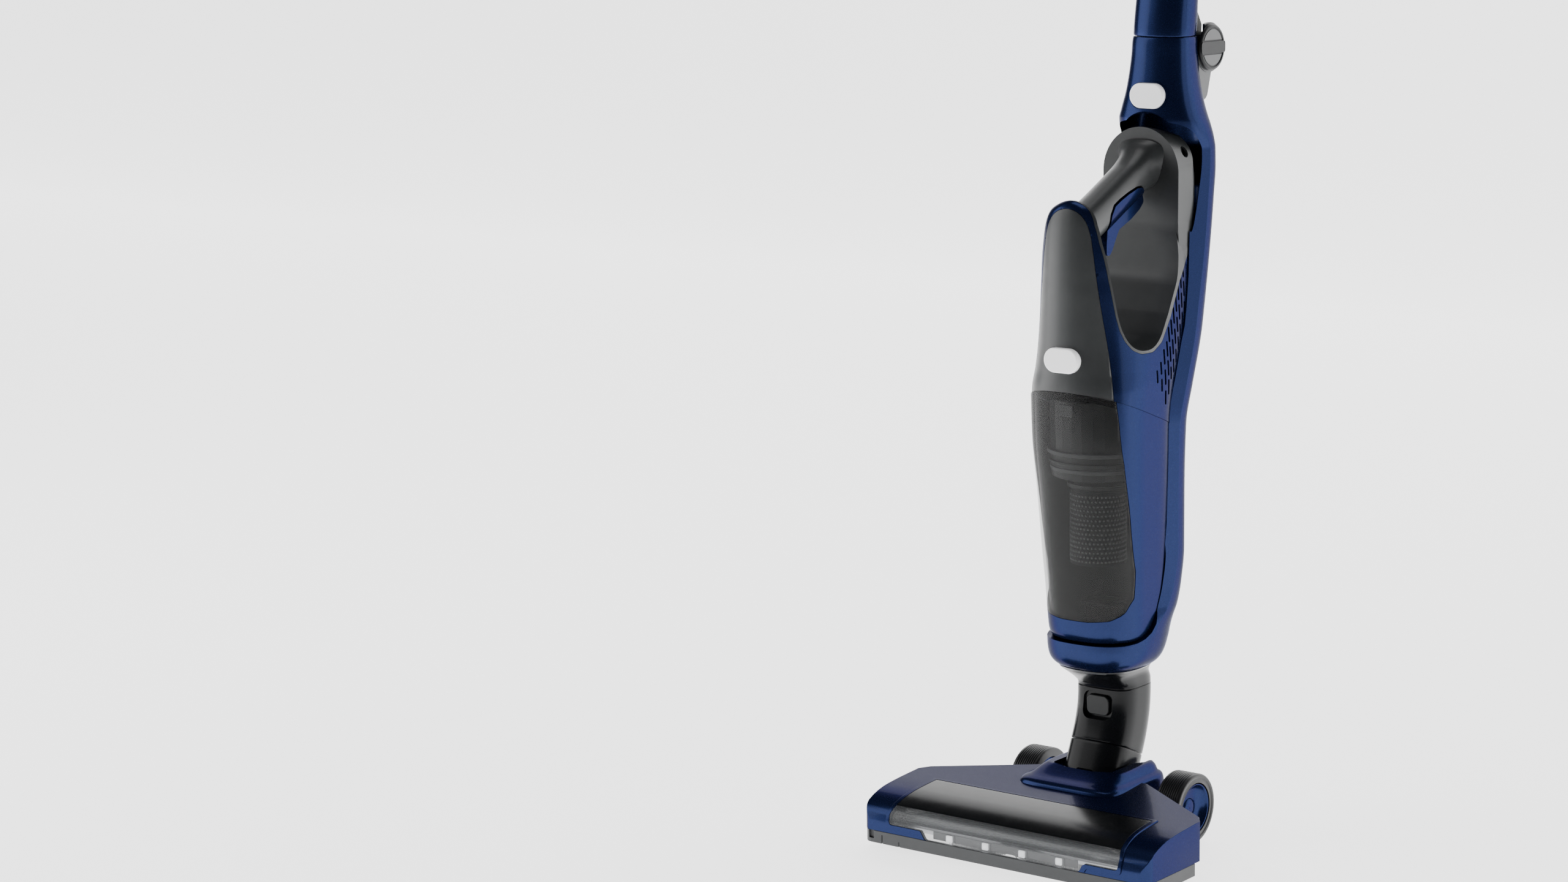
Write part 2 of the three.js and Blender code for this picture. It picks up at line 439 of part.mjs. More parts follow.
put("handle_switch", "lightgrey", cut(prismY(roundRect(0, SWITCH.z, SWITCH.w, SWITCH.h, 6), switchY - 2.2, switchY + 4), box(-10, 10, switchY - 3, switchY - 1.2, SWITCH.z - 6, SWITCH.z + 6)));

// ---------------------------------------------------------------- hand vacuum: dust bin
const seamZ = (y) => SEAM.z + SEAM.slope * (y - SEAM.y);
const aboveSeam = (g) => prismX([[40, seamZ(40) + g], [240, seamZ(240) + g], [240, 600], [40, 600]], -60, 60);
const binRows = [
  [158.8, 38.3, 101.5, 176], [164, 39.2, 98.8, 176.5], [176, 39.8, 97, 176.5], [200, 40.8, 94.8, 175.5],
  [223, 42, 92.3, 174], [268, 44, 88, 173], [318, 46, 82.3, 171], [370, 46.3, 80, 175],
];
const binOuter = (w = 0, low = 0) => loft(levels(binRows, w).map((s, i) => (i ? s : { ...s, z: s.z + low })), { segs: 28 });
const binWall = cut(binOuter(0), binOuter(2.2, 2.2), aboveSeam(-0.15));
const binWindowOutline = (g) => [
  ...arc(0, 0, 1, 0, 0, 0).map(() => [-30 - g, 176 - g]), [30 + g, 176 - g], [36 + g, 181], [38.6 + g, 190], [39.2 + g, 330], [39.2 + g, 352 + g],
  [-39.2 - g, 352 + g], [-39.2 - g, 330], [-38.6 - g, 190], [-36 - g, 181],
];
const binWindowZone = (g) => prismY(binWindowOutline(g), 70, 122);
const inletHole = rod([0, 140, 140], [0, 0, 1], 30, 14, 14, 28);
const nose = loft([{ z: 152.5, y: 141, a: 20, b: 22 }, { z: 159.5, y: 140, a: 33, b: 33 }], { segs: 24 });
put("bin_shell", "blue", cut(join(cut(binWall, binWindowZone(GAP)), nose), inletHole, box(-3, 3, 80, 90, 336, 345)));
put("bin_window", "smoke", both(binWall, binWindowZone(0)));
const FY = 131; // filter axis
put("filter_frame", "filter", cut(
  join(
    both(rod([0, FY, 285], [0, 0, 1], 60, 36, 38, 26), cut(box(-60, 60, 60, 200, 280, 400), aboveSeam(-3))),
    cut(rod([0, FY, 214], [0, 0, 1], 74, 19, 21, 28), rod([0, FY, 200], [0, 0, 1], 12, 30, 30, 20)),
  ),
  rod([0, FY, 217], [0, 0, 1], 200, 17, 30, 28), rod([0, FY, 100], [0, 0, 1], 110, 40, 40, 20),
));
put("filter_cone", "lightgrey", cut(rod([0, FY, 222], [0, 0, 1], 90, 15.5, 21), rod([0, FY, 228], [0, 0, 1], 120, 9, 17, 20)));
put("inlet_tube", "black", cut(
  join(rod([0, 140, 161.5], [0, 0, 1], 20, 17, 15, 28)), rod([0, 140, 150], [0, 0, 1], 40, 12, 12, 24),
));
put("inlet_flap", "rubber", box(-13, 13, 126, 154, 182.2, 184.2));
put("bin_catch", "lightgrey", box(-6, 6, 85.7, 87.7, 335, 344));

// ---------------------------------------------------------------- hand vacuum: motor unit and handle
const vee = (w) => [
  [103.6 - w, 600], [103.6 - w, 499], [101 - w, 488], [98.6 - w, 470], [98.6 - w, 440], [100.4 - w, 421], [106 - w, 403 - w / 2],
  [115 - w / 2, 391 - w], [126, 385 - w], [138, 384 - w],
  [151, 390 - w], [165 + w / 2, 408 - w / 2], [182 + w / 2, 434 - w / 2], [189 + w, 470], [190 + w, 600],
];
function handBody(w) {
  const body = loft(levels([
    [300, 46, 82, 172], [325, 46.2, 80.8, 172], [354, 46, 80.2, 178], [384, 43.8, 81.5, 192], [414, 41, 82.6, 208], [440, 38, 83.5, 214],
  ], w), { segs: 28 });
  const lobe = loft(levels([
    [360, 45.2, 80.4, 140], [384, 43.8, 81.5, 130], [414, 41.2, 82.6, 126], [440, 39.4, 83.4, 122], [456, 37.6, 84.2, 120],
    [470, 34, 85.3, 119], [482, 28, 87, 118], [490, 21.5, 89, 115], [495.5, 13, 92, 111], [498, 4 + w, 97 + w, 105 - w],
  ], w).map((s) => (s.z > 497 ? { ...s, z: s.z - w } : s)), { segs: 28 });
  const pod = both(
    loft(levels([
      [380, 43.5, 120, 190], [414, 38, 130, 207], [440, 34, 160, 214], [470, 32.3, 175, 217], [500, 32, 178, 219], [530, 32, 179, 214], [550, 32, 180, 206],
    ], w).map((s) => ({ ...s, p: 4 })), { segs: 28 }),
    prismY([[-60, 300], [60, 300], [60, 440], [32 - w, 470], ...arc(0, 512, 32 - w, 0, 180, 20), [-32 + w, 470], [-60, 440]], 100, 260),
  );
  return cut(join(body, lobe, pod), prismX(vee(w), -70, 70));
}
const outerHand = handBody(0);
const innerHand = handBody(WALL);
const gripPath = (a, b, y0 = 97, y1 = 199) => {
  const d = (518 - 470) / (200 - 100);
  const t = 90 - THREE.MathUtils.radToDeg(Math.atan(d));
  return [y0, y1].map((y) => ({ y, z: 470 + (y - 100) * d + 3, t, a, b }));
};
const handleBar = loft(gripPath(14, 14), { segs: 24, p: 2.4 });
// the grey rear moulding lies above this line, the blue motor shell below it
const lipLine = (g) => [
  [104.6, 600], [102 + g, 484 + g], [100.4 + g, 455 + g], [102.2 + g, 421 + g], [108 + g, 401 + g], [118, 387 + g], [132, 380.6 + g], [140, 380.2 + g], [153, 386 + g],
  [168, 405 + g], [184, 430 + g], [203, 452 + g], [230, 452 + g], [230, 600],
];
const rearZone = (g) => prismX(lipLine(g), -60, 60);
const coverHalf = (g) => [
  [38.5 + g, 330], [38.3 + g, 352], [37 + g, 372], [33.5 + g, 398], [28.7 + g, 427.7],
  [23.7 + g, 451], [17.3 + g, 473.7], [12.5 + g, 481.5 + g], [8 + g, 487 + g], [3 + g, 490.5 + g],
];
const coverOutline = (g) => [...coverHalf(g), ...coverHalf(g).reverse().map(([x, z]) => [-x, z])];
const coverZone = (g) => prismY(coverOutline(g), 60, 104);
const KNOB2 = { z: 378.6, y: 82, w: 15.5, h: 9.5 };
const aboveJoint = aboveSeam(0.15);
const handShell = both(cut(outerHand, innerHand), aboveJoint);
const ventSlots = [];
for (let i = 0; i < 6; i++) ventSlots.push(box(20, 60, 144 + i * 7, 146.4 + i * 7, 346 + i * 13, 370 + i * 12));
const vents = ventSlots.slice(1).reduce((s, b) => s.add(b), ventSlots[0]);
const ribs = join(box(-14, 14, 104.5, 108, 400, 420));
const motorShell = put("motor_shell", "blue", cut(handShell, rearZone(-GAP / 2), coverZone(GAP), vents, mirrored(vents)));
put("front_cover", "grey", cut(both(handShell, coverZone(0)), stadium(KNOB2, GAP)));
put("bin_release_button", "chrome", prismY(roundRect(0, KNOB2.z, KNOB2.w, KNOB2.h, KNOB2.h - 0.01, 6), 79.4, 85.6));
// rear moulding: grip bar, tombstone-shaped battery housing and the walls of the finger opening
const TRIG = { y0: 126, y1: 170 };
// the trigger wraps the lower half of the bar and hooks down in front of the fingers; it presses 1.2 mm
const triggerPocket = prismX([
  [127.6, 452], [128.8, 472], [129.6, 479.6], [131, 487.6], [136.2, 490], [149.4, 496.2], [162.4, 502.4],
  [169, 503.8], [175.2, 500.4], [178.2, 494.5], [178, 487], [170, 470], [140, 450],
], -16, 16);
const triggerWrap = both(loft(gripPath(14.5, 14.5, 110, 190), { segs: 24, p: 2.4 }), prismX([
  [129.5, 470], [131, 478], [132.5, 485], [137, 488.3], [150, 494.5], [163, 500.7],
  [169, 502], [174.5, 499], [177.5, 494], [177, 486], [160, 472], [143, 462],
], -16, 16));
const triggerHook = prismX([[127, 456], [131.5, 455], [134.5, 468], [141, 477], [141, 484], [131, 484], [127.5, 478]], -9, 9);
const socketHole = rod([20, 203, 527], [1, 0, 0], 30, 4.2, 4.2, 24);
const grip = cut(both(handleBar, box(-30, 30, 96, 196, 440, 560)), cut(innerHand, box(-60, 60, 60, 110, 300, 600)), motorShell);
const rearShell = join(both(cut(outerHand, innerHand), rearZone(GAP / 2)), grip);
const trigger = join(triggerWrap, both(triggerHook, prismX([
  [127, 450], [131, 478], [132.5, 485], [150, 484], [150, 450],
], -16, 16)));
const pressed = (d) => trigger.translate([0, -Math.sin(rad(25.6)) * d, Math.cos(rad(25.6)) * d]);
put("rear_housing", "grey", cut(rearShell, triggerPocket, pressed(0.6), pressed(1.2), socketHole));
put("hand_trigger", "blue", trigger);
put("charge_socket", "black", cut(rod([20.5, 203, 527], [1, 0, 0], 6.3, 3.8, 3.8, 24), rod([24, 203, 527], [1, 0, 0], 30, 2, 2, 16)));

// inside: battery, motor, fan, control board
const cells = [];
for (const x of [-17.6, 0, 17.6]) {
  cells.push(rod([x, 190, 407], [0, 0.2, 1], 50, 8.6, 8.6, 20), rod([x, 202.5, 463], [0, 0.02, 1], 54, 8.6, 8.6, 20));
}
const busBar = join(box(-20, 20, 198, 206, 455, 466), box(-20, 20, 201, 205, 466, 510), prismX([[190, 410], [194, 410], [204, 460], [199, 460]], -20, 20));
put("battery_pack", "cell", join(...cells, busBar));
const fanAxis = [0, Math.sin(rad(20.4)), Math.cos(rad(20.4))];
const onFanAxis = (l) => [0, 127 + fanAxis[1] * l, seamZ(127) + fanAxis[2] * l];
put("fan_motor", "steel", rod(onFanAxis(14), fanAxis, 22, 21, 21, 28));
const blades = Array.from({ length: 7 }, (_, i) =>
  box(-0.8, 0.8, 4, 20, -4.5, 0).rotate([0, 0, (360 / 7) * i]).rotate([-20.4, 0, 0]).translate(onFanAxis(9.5)));
put("impeller", "lightgrey", join(
  rod(onFanAxis(9), fanAxis, 1.6, 21, 21, 28), rod(onFanAxis(4.6), fanAxis, 9, 5, 5, 20), ...blades,
));
put("control_board", "board", box(-20, 20, 92, 94, 400, 455));

const bounds = new THREE.Box3().setFromObject(group);
const midY = (bounds.min.y + bounds.max.y) / 2;
for (const mesh of group.children) mesh.geometry.translate(0, -midY, -bounds.min.z);

export default group;
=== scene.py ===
import json
import math

import bmesh
import bpy
import numpy as np
from mathutils import Matrix, Vector


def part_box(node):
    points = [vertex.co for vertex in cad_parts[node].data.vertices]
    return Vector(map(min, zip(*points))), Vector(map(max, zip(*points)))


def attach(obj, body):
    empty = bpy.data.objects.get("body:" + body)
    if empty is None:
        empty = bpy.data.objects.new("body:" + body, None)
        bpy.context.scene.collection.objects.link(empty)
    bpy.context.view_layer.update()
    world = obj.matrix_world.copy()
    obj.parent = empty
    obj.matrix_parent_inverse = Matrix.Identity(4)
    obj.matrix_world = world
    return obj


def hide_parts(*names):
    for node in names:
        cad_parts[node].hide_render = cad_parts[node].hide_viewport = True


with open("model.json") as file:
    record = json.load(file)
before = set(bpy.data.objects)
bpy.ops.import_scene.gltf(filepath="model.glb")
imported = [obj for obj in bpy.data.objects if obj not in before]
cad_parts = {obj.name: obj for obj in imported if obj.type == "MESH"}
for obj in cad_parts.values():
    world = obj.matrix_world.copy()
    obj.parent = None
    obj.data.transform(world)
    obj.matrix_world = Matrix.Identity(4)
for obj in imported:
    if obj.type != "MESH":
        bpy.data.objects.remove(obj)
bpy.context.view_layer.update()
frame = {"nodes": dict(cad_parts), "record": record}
NODES = frame["nodes"]
BODY_OF = {n: b for b, ns in frame["record"]["behaviour"]["bodies"].items() for n in ns}
SLOT_OF = {s["node"]: s["material_slot"] for s in frame["record"]["subparts"]}

# ------------------------------------------------------------------ driving sizes, mm
FOLD_Y, FOLD_Z, FOLD_SEAM = 252.5, 605.0, 614.6
pin_lo, pin_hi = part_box("fold_pin")
SHIFT_Y = FOLD_Y - 1000 * (pin_lo.y + pin_hi.y) / 2
GAP = 0.3
WALL = 2.4
HEAD_W, HEAD_BACK = 260.0, 124.0
WHEEL_Y, WHEEL_R = 149.0, 27.5
PIVOT_Y, PIVOT_Z = 130.0, 38.0
NECK_LEAN, NECK_W, NECK_D, NECK_SEAM = 24.0, 25.4, 23.4, 31.8
BIN_SEAM_Y, BIN_SEAM_Z, BIN_SLOPE = 82.0, 354.0, -0.3718


# ------------------------------------------------------------------ mesh helpers
def solid(verts, faces):
    """A mesh from lists of points and faces, with its normals facing out."""
    me = bpy.data.meshes.new("tmp")
    me.from_pydata([tuple(v) for v in verts], [], faces)
    bm = bmesh.new()
    bm.from_mesh(me)
    bmesh.ops.remove_doubles(bm, verts=bm.verts, dist=1e-5)
    bmesh.ops.recalc_face_normals(bm, faces=bm.faces)
    if bm.calc_volume(signed=True) < 0:
        bmesh.ops.reverse_faces(bm, faces=bm.faces)
    bm.to_mesh(me)
    bm.free()
    return me


def boolean(a, b, operation):
    """a and b combined; both are closed meshes, and both are left as they were."""
    oa = bpy.data.objects.new("a", a)
    ob = bpy.data.objects.new("b", b)
    for o in (oa, ob):
        bpy.context.scene.collection.objects.link(o)
    mod = oa.modifiers.new("m", "BOOLEAN")
    mod.operation, mod.object, mod.solver = operation, ob, "MANIFOLD"
    out = bpy.data.meshes.new_from_object(oa.evaluated_get(bpy.context.evaluated_depsgraph_get()))
    for o in (oa, ob):
        bpy.data.objects.remove(o)
    return out


def cut(a, *rest):
    for b in rest:
        a = boolean(a, b, "DIFFERENCE")
    return a


def join(a, *rest):
    for b in rest:
        a = boolean(a, b, "UNION")
    return a


def both(a, b):
    return boolean(a, b, "INTERSECT")


def moved(me, matrix):
    out = me.copy()
    out.transform(matrix)
    if matrix.determinant() < 0:
        out.flip_normals()
    return out


def mirrored(me):
    return moved(me, Matrix.Diagonal((-1, 1, 1, 1)))


def shifted(me, x=0, y=0, z=0):
    return moved(me, Matrix.Translation((x, y, z)))


def prism(points, low, high, to_xyz):
    """A closed outline swept from low to high; to_xyz turns (u, v, w) into x, y, z."""
    n = len(points)
    verts = [to_xyz(u, v, w) for w in (low, high) for u, v in points]
    faces = [[i, (i + 1) % n, n + (i + 1) % n, n + i] for i in range(n)]
    return solid(verts, faces + [list(range(n)), list(range(n, 2 * n))])


def prism_x(points, x0, x1):
    return prism(points, x0, x1, lambda y, z, x: (x, y, z))


def prism_y(points, y0, y1):
    return prism(points, y0, y1, lambda x, z, y: (x, y, z))


def prism_z(points, z0, z1):
    return prism(points, z0, z1, lambda x, y, z: (x, y, z))


def box(x0, x1, y0, y1, z0, z1):
    return prism_z([(x0, y0), (x1, y0), (x1, y1), (x0, y1)], z0, z1)


def arc(cu, cv, r, a0, a1, n):
    out = []
    for i in range(n + 1):
        t = math.radians(a0 + (a1 - a0) * i / n)
        out.append((cu + r * math.cos(t), cv + r * math.sin(t)))
    return out


def softened(points, r, n=5):
    """An outline with its corners rounded to radius r, or less where an edge is short."""
    out = []
    count = len(points)
    for i, p in enumerate(points):
        p = Vector(p)
        a = Vector(points[i - 1]) - p
        b = Vector(points[(i + 1) % count]) - p
        la, lb = a.length, b.length
        a.normalize()
        b.normalize()
        turn = math.pi - math.acos(max(-1, min(1, a.dot(b))))
        if turn < 0.12:
            out.append(tuple(p))
            continue
        t = min(r * math.tan(turn / 2), 0.48 * la, 0.48 * lb)
        p0, p1 = p + a * t, p + b * t
        for k in range(n + 1):
            s = k / n
            out.append(tuple((1 - s) ** 2 * p0 + 2 * s * (1 - s) * p + s * s * p1))
    return out


def round_rect(cu, cv, a, b, r, n=8):
    out = []
    for su, sv, start in ((1, -1, -90), (1, 1, 0), (-1, 1, 90), (-1, -1, 180)):
        out += arc(cu + su * (a - r), cv + sv * (b - r), r, start, start + 90, n)
    return out


def rod(a, d, length, r0, r1=None, n=64):
    """A cylinder or cone from point a along d."""
    r1 = r0 if r1 is None else r1
    d = Vector(d).normalized()
    u = d.orthogonal().normalized()
    v = d.cross(u)
    verts = []
    for base, r in ((Vector(a), r0), (Vector(a) + d * length, r1)):
        verts += [base + r * (math.cos(t) * u + math.sin(t) * v) for t in np.linspace(0, 2 * math.pi, n, False)]
    faces = [[i, (i + 1) % n, n + (i + 1) % n, n + i] for i in range(n)]
    return solid(verts, faces + [list(range(n)), list(range(n, 2 * n))])


def rod_x(x0, x1, y, z, r, n=64, r1=None):
    return rod((x0, y, z), (1, 0, 0), x1 - x0, r, r1, n)


def turned_x(profile, y, z, n=96):
    """A closed profile of (x, radius) points turned about an axis along X."""
    m = len(profile)
    verts = []
    for i in range(n):
        t = 2 * math.pi * i / n
        verts += [(x, y + r * math.cos(t), z + r * math.sin(t)) for x, r in profile]
    faces = [
        [i * m + k, i * m + (k + 1) % m, ((i + 1) % n) * m + (k + 1) % m, ((i + 1) % n) * m + k]
        for i in range(n) for k in range(m)
    ]
    return solid(verts, faces)


def smooth_rows(rows, step):
    """Rows of numbers led by a height, filled in at about this step by monotone cubics."""
    rows = np.array(rows, float)
    z = rows[:, 0]
    h = np.diff(z)
    out_z = np.concatenate([np.linspace(z[i], z[i + 1], max(2, int(math.ceil(h[i] / step)) + 1))[:-1] for i in range(len(h))] + [z[-1:]])
    cols = [out_z]
    for c in rows[:, 1:].T:
        d = np.diff(c) / h
        m = np.zeros(len(z))
        m[0], m[-1] = d[0], d[-1]
        for i in range(1, len(z) - 1):
            if d[i - 1] * d[i] > 0:
                w1, w2 = 2 * h[i] + h[i - 1], h[i] + 2 * h[i - 1]
                m[i] = (w1 + w2) / (w1 / d[i - 1] + w2 / d[i])
        k = np.clip(np.searchsorted(z, out_z, side="right") - 1, 0, len(h) - 1)
        t = (out_z - z[k]) / h[k]
        cols.append(
            (2 * t**3 - 3 * t**2 + 1) * c[k] + (t**3 - 2 * t**2 + t) * h[k] * m[k]
            + (-2 * t**3 + 3 * t**2) * c[k + 1] + (t**3 - t**2) * h[k] * m[k + 1]
        )
    return np.array(cols).T


def rings_to_solid(rings):
    n = len(rings[0])
    verts = [p for ring in rings for p in ring]
    faces = [
        [r * n + i, r * n + (i + 1) % n, (r + 1) * n + (i + 1) % n, (r + 1) * n + i]
        for r in range(len(rings) - 1) for i in range(n)
    ]
    last = (len(rings) - 1) * n
    return solid(verts, faces + [list(range(n)), list(range(last, last + n))])


def superellipse(a, b, p, n):
    out = []
    for t in np.linspace(0, 2 * math.pi, n, False):
        c, s = math.cos(t), math.sin(t)
        e = 2 / p
        out.append((a * math.copysign(abs(c) ** e, c), b * math.copysign(abs(s) ** e, s)))
    return out


def level_loft(rows, w=0.0, p=2.5, n=112, step=2.5):
    """Level sections (z, half width, front, back[, exponent]) inset by w, smoothly filled in."""
    rows = [list(r) + [p] * (5 - len(r)) for r in rows]
    rings = []
    for z, a, y0, y1, q in smooth_rows(rows, step):
        c, b = (y0 + y1) / 2, (y1 - y0) / 2
        rings.append([(x, c + y, z) for x, y in superellipse(a - w, b - w, q, n)])
    return rings_to_solid(rings)


def egg_loft(rows, w=0.0, p=2.6, n=112, step=2.0):
    """Level sections (z, half width, front, widest y, back, back exponent) inset by w."""
    rings = []
    for z, a, y0, yc, y1, q, p in smooth_rows([tuple(r) + (p,) * (7 - len(r)) for r in rows], step):
        ring = []
        for t in np.linspace(0, 2 * math.pi, n, False):
            c, v = math.cos(t), math.sin(t)
            e = 2 / (q if v > 0 else p)
            y = yc + (y1 - w - yc) * abs(v) ** e if v > 0 else yc - (yc - y0 - w) * abs(v) ** e
            ring.append(((a - w) * math.copysign(abs(c) ** e, c), y, z))
        rings.append(ring)
    return rings_to_solid(rings)


def tilted_loft(stations, p=4.5, n=112, step=2.0):
    """Stations (centre y, centre z, tilt in degrees, half width, half depth[, exponent])."""
    rows, run = [], 0.0
    for i, s in enumerate(stations):
        if i:
            run += math.hypot(s[0] - stations[i - 1][0], s[1] - stations[i - 1][1])
        rows.append([run] + list(s) + [p] * (6 - len(s)))
    rings = []
    for _, cy, cz, tilt, a, b, q in smooth_rows(rows, step):
        ct, st = math.cos(math.radians(tilt)), math.sin(math.radians(tilt))
        rings.append([(x, cy + v * ct, cz - v * st) for x, v in superellipse(a, b, q, n)])
    return rings_to_solid(rings)


# ------------------------------------------------------------------ materials
MATS = {}


def material(name, color, rough, metallic=0.0, coat=0.0, coat_rough=0.05, grain=0.0, grain_mm=0.5,
             mottle=0.06, mottle_mm=18.0, transmission=0.0, ior=1.47, emission=None, rough_var=0.05, sheen=0.0,
             anis=0.0, edge=None, spec=0.5, alpha=1.0):
    """A moulded or metal finish: colour mottling, roughness variation and a fine grain, all procedural."""
    mat = bpy.data.materials.new(name)
    mat.use_nodes = True
    nt = mat.node_tree
    bsdf = nt.nodes["Principled BSDF"]
    coord = nt.nodes.new("ShaderNodeTexCoord")

    def noise(mm, detail=2.0):
        t = nt.nodes.new("ShaderNodeTexNoise")
        t.inputs["Scale"].default_value = 1000.0 / mm
        t.inputs["Detail"].default_value = detail
        nt.links.new(coord.outputs["Object"], t.inputs["Vector"])
        return t.outputs["Fac"]

    ramp = nt.nodes.new("ShaderNodeValToRGB")
    ramp.color_ramp.elements[0].position, ramp.color_ramp.elements[1].position = 0.3, 0.7
    ramp.color_ramp.elements[0].color = [c * (1 - mottle) for c in color] + [1]
    ramp.color_ramp.elements[1].color = [min(1, c * (1 + mottle)) for c in color] + [1]
    nt.links.new(noise(mottle_mm), ramp.inputs["Fac"])
    nt.links.new(ramp.outputs["Color"], bsdf.inputs["Base Color"])
    rr = nt.nodes.new("ShaderNodeMapRange")
    rr.inputs["To Min"].default_value = max(0.0, rough - rough_var)
    rr.inputs["To Max"].default_value = rough + rough_var
    nt.links.new(noise(mottle_mm * 0.6, 4.0), rr.inputs["Value"])
    nt.links.new(rr.outputs["Result"], bsdf.inputs["Roughness"])
    bsdf.inputs["Metallic"].default_value = metallic
    bsdf.inputs["Coat Weight"].default_value = coat
    bsdf.inputs["Coat Roughness"].default_value = coat_rough
    bsdf.inputs["IOR"].default_value = ior
    bsdf.inputs["Transmission Weight"].default_value = transmission
    bsdf.inputs["Sheen Weight"].default_value = sheen
    bsdf.inputs["Anisotropic"].default_value = anis
    bsdf.inputs["Specular IOR Level"].default_value = spec
    bsdf.inputs["Alpha"].default_value = alpha
    if edge:
        bsdf.inputs["Specular Tint"].default_value = list(edge) + [1]
    if emission:
        bsdf.inputs["Emission Color"].default_value = list(color) + [1]
        bsdf.inputs["Emission Strength"].default_value = emission
    if grain:
        bump = nt.nodes.new("ShaderNodeBump")
        bump.inputs["Strength"].default_value = grain
        bump.inputs["Distance"].default_value = 0.0002
        nt.links.new(noise(grain_mm, 3.0), bump.inputs["Height"])
        nt.links.new(bump.outputs["Normal"], bsdf.inputs["Normal"])
    MATS[name] = mat
    return mat


material("blue_gloss", (0.0130, 0.0215, 0.0720), 0.26, metallic=0.78, coat=0.10, coat_rough=0.08, mottle=0.05, mottle_mm=1.2, edge=(0.10, 0.135, 0.30), spec=0.25)
material("grey_satin", (0.032, 0.034, 0.035), 0.36, metallic=0.0, coat=0.1, coat_rough=0.25, grain=0.08, grain_mm=0.35, spec=0.45)
material("soft_grey", (0.03, 0.032, 0.034), 0.62, grain=0.35, grain_mm=0.6, sheen=0.2)
material("light_grey", (0.22, 0.225, 0.23), 0.36, metallic=0.1, grain=0.06, grain_mm=0.4)
material("mid_grey", (0.075, 0.078, 0.08), 0.34, coat=0.2, coat_rough=0.2, grain=0.06, grain_mm=0.4)
material("black_gloss", (0.004, 0.0045, 0.0055), 0.22, mottle=0.1, spec=0.2)
material("black_satin", (0.008, 0.009, 0.010), 0.38, grain=0.1, grain_mm=0.4, spec=0.35)
material("dark_plastic", (0.010, 0.011, 0.012), 0.45, grain=0.15, grain_mm=0.5, spec=0.3)
material("bumper_grey", (0.036, 0.038, 0.040), 0.5, grain=0.25, grain_mm=0.45)
material("smoked_clear", (0.005, 0.0052, 0.0055), 0.12, alpha=0.42, spec=0.4, mottle=0.02, rough_var=0.02)
material("window_clear", (0.16, 0.165, 0.17), 0.12, alpha=0.30, spec=0.5, mottle=0.02, rough_var=0.02)
# chrome_plate is near white and glows faintly though it is no lamp: a painted highlight standing in for the chrome's
# bright reflection
material("chrome_plate", (0.95, 0.95, 0.96), 0.16, metallic=0.0, coat=1.0, mottle=0.01, rough_var=0.02, emission=0.55)
material("rubber", (0.008, 0.008, 0.009), 0.5, grain=0.2, grain_mm=0.4)
material("tyre", (0.007, 0.007, 0.008), 0.42, grain=0.25, grain_mm=0.6)
material("steel", (0.5, 0.51, 0.52), 0.28, metallic=1.0, mottle=0.05, anis=0.3)
material("brush_alloy", (0.5, 0.51, 0.53), 0.35, metallic=0.9)
material("bristle", (0.4, 0.4, 0.4), 0.8, grain=0.8, grain_mm=0.3, mottle=0.3, mottle_mm=0.6, sheen=0.4)
material("felt", (0.03, 0.03, 0.034), 0.95, grain=1.0, grain_mm=0.5, mottle=0.3, mottle_mm=0.8, sheen=0.5)
material("lamp_white", (0.95, 0.97, 1.0), 0.2, emission=1.6)
material("filter_pleat", (0.10, 0.10, 0.098), 0.9, grain=0.6, grain_mm=0.4)
material("battery_cell", (0.03, 0.16, 0.09), 0.3, coat=0.4)
material("board_green", (0.012, 0.09, 0.035), 0.35, coat=0.5, mottle=0.4, mottle_mm=2.0)


# ------------------------------------------------------------------ pieces
def place(name, me, mat, body, slot=None, replaces=(), bevel=0.5, angle=38, segments=2):
    """Rounds a mesh's sharp edges, sets its shading, and makes it a piece of the object."""
    bm = bmesh.new()
    bm.from_mesh(me)
    bmesh.ops.remove_doubles(bm, verts=bm.verts, dist=0.04)
    bmesh.ops.dissolve_degenerate(bm, edges=bm.edges, dist=0.02)
    limit = math.radians(angle)
    if bevel:
        sharp = [e for e in bm.edges if len(e.link_faces) == 2 and e.calc_face_angle(0) > limit]
        bmesh.ops.bevel(bm, geom=sharp, offset=bevel, segments=segments, profile=0.5, affect="EDGES", clamp_overlap=True)
    for f in bm.faces:
        f.smooth = True
    for e in bm.edges:
        if len(e.link_faces) == 2 and e.calc_face_angle(0) > math.radians(48):
            e.smooth = False
    bm.to_mesh(me)
    bm.free()
    me.transform(Matrix.Diagonal((0.001, 0.001, 0.001, 1)) @ Matrix.Translation((0, -SHIFT_Y, 0)))
    me.materials.clear()
    me.materials.append(MATS[mat])
    obj = bpy.data.objects.new(name, me)
    bpy.context.scene.collection.objects.link(obj)
    normal = obj.modifiers.new("normals", "WEIGHTED_NORMAL")
    normal.keep_sharp = True
    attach(obj, body)
    if replaces:
        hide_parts(*replaces)
    return obj


def stands_for(node, me, mat=None, **more):
    return place(node + "_look", me, mat or SLOT_OF[node], BODY_OF[node], SLOT_OF[node], (node,), **more)


def extra(name, me, mat, body, slot=None, **more):
    return place(name, me, mat, body, slot or mat, (), **more)


# every CAD node gets its finish; those replaced below are hidden by their pieces
for name, obj in NODES.items():
    obj.data.materials.clear()
    obj.data.materials.append(MATS["mid_grey" if name == "filter_frame" else SLOT_OF[name]])


# ------------------------------------------------------------------ floor head
HALF = HEAD_W / 2
TOP_LINE = [(0, 21), (0.3, 24), (1.7, 28.5), (4.6, 32.6), (8.6, 35.8), (14, 38.3), (20, 40.3), (26, 41.7), (32, 42.6),
            (41, 43.5), (50, 44.2), (65, 45.1), (80, 46), (102, 47.5), (HEAD_BACK, 49)]


